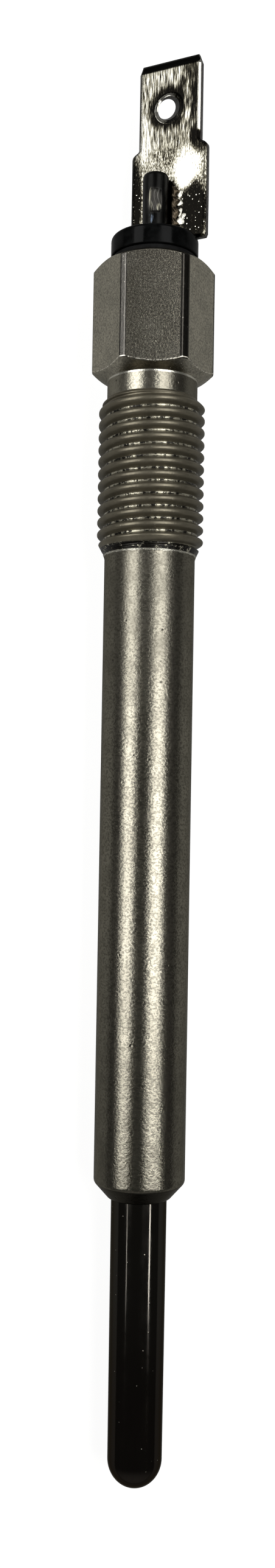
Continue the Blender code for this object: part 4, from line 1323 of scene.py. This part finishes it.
def chosen(context):
    """The sizes, the colours and the heights that follow from the sizes."""
    s = context.scene.plug_sizes
    return s, context.scene.plug_colours, heights(s)


class GLOWPLUG_OT_housing(bpy.types.Operator):
    """Makes the steel body: hexagon, neck, thread, barrel and nose"""

    bl_idname = "glowplug.housing"
    bl_label = "Steel Body"

    def execute(self, context):
        s, c, h = chosen(context)
        angles = body_angles()
        rows, finish = housing_rows(angles, s, h)
        bands = np.repeat(finish[:, None], len(angles) - 1, axis=1)
        foot = (rows[:, 1:, 1] < h.thread_end + POLISHED_FOOT) & (bands == THREAD_FINISH)
        bands[foot] = BODY_FINISH
        finishes = [head_plate(s, c), polished_plate(s, c), thread_plate(s, c)]
        quads = grid_quads(len(rows), len(angles), ring=True)
        points = laid_down(spun(rows, angles), s)
        add_piece("steel_body", points, quads, finishes, ("housing",), bands)
        return {"FINISHED"}


class GLOWPLUG_OT_sheath(bpy.types.Operator):
    """Makes the heater sheath with its round closed tip"""

    bl_idname = "glowplug.sheath"
    bl_label = "Heater Sheath"

    def execute(self, context):
        s, c, h = chosen(context)
        points, quads = sheath_surface(s, h)
        points = laid_down(points, s)
        add_piece("sheath_tube", points, quads, [sheath_alloy(s, c)], ("heater_sheath",))
        return {"FINISHED"}


class GLOWPLUG_OT_bush(bpy.types.Operator):
    """Makes the black bush in the head and the washer under it"""

    bl_idname = "glowplug.bush"
    bl_label = "Bush and Washer"

    def execute(self, context):
        s, c, h = chosen(context)
        flange, skirt, bore = s.bush / 2, s.counterbore / 2 - BUSH_GAP, s.pin / 2 + BUSH_GAP
        bush = [
            (bore, h.bush_top),
            (flange, h.bush_top),
            (flange, h.bush_base),
            (skirt, h.bush_base),
            (skirt, h.skirt_end),
            (bore, h.skirt_end),
        ]
        trims = (0.08 * MM, 0.38 * MM, 0.12 * MM, 0.0, 0.1 * MM, 0.0)
        finish = black_moulding("bush_black", tuple(c.bush_black), 0.15, s)
        ring_surface("bush_flange", bush, trims, finish, s, "insulator_bush", 8)
        inner, outer = s.counterbore / 2, s.washer / 2
        low, high = h.seat, h.seat + s.washer_height
        washer = [(inner, high), (outer, high), (outer, low), (inner, low)]
        finish = black_moulding("washer_black", tuple(c.washer_black), 0.5, s)
        trims = (0.0, 0.1 * MM, 0.1 * MM, 0.0)
        ring_surface("head_washer", washer, trims, finish, s, "seat_washer", 4)
        return {"FINISHED"}


class GLOWPLUG_OT_pin(bpy.types.Operator):
    """Makes the rod with its dark terminal pin"""

    bl_idname = "glowplug.pin"
    bl_label = "Terminal Pin"

    def execute(self, context):
        s, c, h = chosen(context)
        points = pin_surface(s, h)
        quads = grid_quads(*points.shape[:2])
        points = laid_down(points, s)
        add_piece("terminal_pin", points, quads, [pin_steel(s, c)], ("centre_electrode",))
        return {"FINISHED"}


class GLOWPLUG_OT_blade(bpy.types.Operator):
    """Makes the spade blade with its hole, shoulders and rounded edges"""

    bl_idname = "glowplug.blade"
    bl_label = "Blade"

    def execute(self, context):
        s, c, h = chosen(context)
        points, quads = blade_surface(s, h)
        points = laid_down(beside_pin(points), s)
        add_piece("blade", points, quads, [blade_plate(s, c)], ("spade_terminal",))
        return {"FINISHED"}


class GLOWPLUG_OT_weld(bpy.types.Operator):
    """Makes the weld bead between pin and blade, with its bright lobes"""

    bl_idname = "glowplug.weld"
    bl_label = "Weld"

    def execute(self, context):
        s, c, h = chosen(context)
        bead = bead_surface(s, h)
        points = laid_down(beside_pin(bead), s)
        quads = grid_quads(*bead.shape[:2])
        add_piece("weld_bead", points, quads, [weld_tint(s, c)], ("terminal_weld",))
        lobes = lobe_surface()
        count, rows, columns = lobes.shape[:3]
        starts = rows * columns * np.arange(count)
        quads = (grid_quads(rows, columns)[None] + starts[:, None, None]).reshape(-1, 4)
        points = laid_down(beside_pin(lobes), s)
        add_piece("weld_lobes", points, quads, [weld_bright(s, c)], ())
        return {"FINISHED"}


class GLOWPLUG_OT_inside(bpy.types.Operator):
    """Gives the pieces inside the plug their finishes"""

    bl_idname = "glowplug.inside"
    bl_label = "Inner Pieces"

    def execute(self, context):
        s, c, _ = chosen(context)
        wire = plain_inside("coil_wire", tuple(c.wire), 0.35, 1.0, 8.0, s)
        powder = plain_inside("packed_powder", tuple(c.powder), 0.85, 0.0, 5.0, s)
        rubber = plain_inside("seal_rubber", tuple(c.washer_black), 0.55, 0.0, 6.0, s)
        finishes = {
            "heating_coil": wire,
            "regulating_coil": wire,
            "magnesia_fill": powder,
            "sheath_seal": rubber,
            "head_seal": rubber,
        }
        for name, finish in finishes.items():
            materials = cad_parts[name].data.materials
            materials.clear()
            materials.append(finish)
        return {"FINISHED"}


class GLOWPLUG_OT_stage(bpy.types.Operator):
    """Makes the floor, the strip lamps, the room light and the camera"""

    bl_idname = "glowplug.stage"
    bl_label = "Stage"

    def execute(self, context):
        s, stage = context.scene.plug_sizes, context.scene.plug_stage
        corners = FLOOR_REACH * np.array([[-1, -1, 0], [1, -1, 0], [1, 1, 0], [-1, 1, 0]])
        mesh = bpy.data.meshes.new("floor")
        mesh.from_pydata(corners, [], [(0, 1, 2, 3)])
        mesh.materials.append(floor_finish(stage))
        floor = bpy.data.objects.new("floor", mesh)
        context.scene.collection.objects.link(floor)
        for lamp in LAMPS:
            strip_lamp(stage, *lamp)
        context.scene.world = studio_world(stage)
        photo_camera(s, stage)
        context.scene.view_settings.view_transform = "Standard"
        return {"FINISHED"}


class GLOWPLUG_PT_panel(bpy.types.Panel):
    """Lists the plug's pieces and settings"""

    bl_idname = "GLOWPLUG_PT_panel"
    bl_label = "Glow Plug"
    bl_space_type = "VIEW_3D"
    bl_region_type = "UI"
    bl_category = "Glow Plug"

    def draw(self, context):
        for operator in OPERATORS:
            self.layout.operator(operator.bl_idname)
        scene = context.scene
        for group in (scene.plug_sizes, scene.plug_colours, scene.plug_stage):
            box = self.layout.box()
            for name in group.__annotations__:
                box.prop(group, name)


OPERATORS = (
    GLOWPLUG_OT_housing,
    GLOWPLUG_OT_sheath,
    GLOWPLUG_OT_bush,
    GLOWPLUG_OT_pin,
    GLOWPLUG_OT_blade,
    GLOWPLUG_OT_weld,
    GLOWPLUG_OT_inside,
    GLOWPLUG_OT_stage,
)
CLASSES = (PlugSizes, PlugColours, PlugStage, *OPERATORS, GLOWPLUG_PT_panel)


def register():
    """Registers the classes and hangs the settings on the scene."""
    for cls in CLASSES:
        bpy.utils.register_class(cls)
    bpy.types.Scene.plug_sizes = PointerProperty(type=PlugSizes)
    bpy.types.Scene.plug_colours = PointerProperty(type=PlugColours)
    bpy.types.Scene.plug_stage = PointerProperty(type=PlugStage)


def unregister():
    """Takes the settings off the scene and unregisters the classes."""
    del bpy.types.Scene.plug_stage
    del bpy.types.Scene.plug_colours
    del bpy.types.Scene.plug_sizes
    for cls in reversed(CLASSES):
        bpy.utils.unregister_class(cls)


def main():
    register()
    bpy.ops.glowplug.housing()
    bpy.ops.glowplug.sheath()
    bpy.ops.glowplug.bush()
    bpy.ops.glowplug.pin()
    bpy.ops.glowplug.blade()
    bpy.ops.glowplug.weld()
    bpy.ops.glowplug.inside()
    bpy.ops.glowplug.stage()


if __name__ == "__main__":
    main()
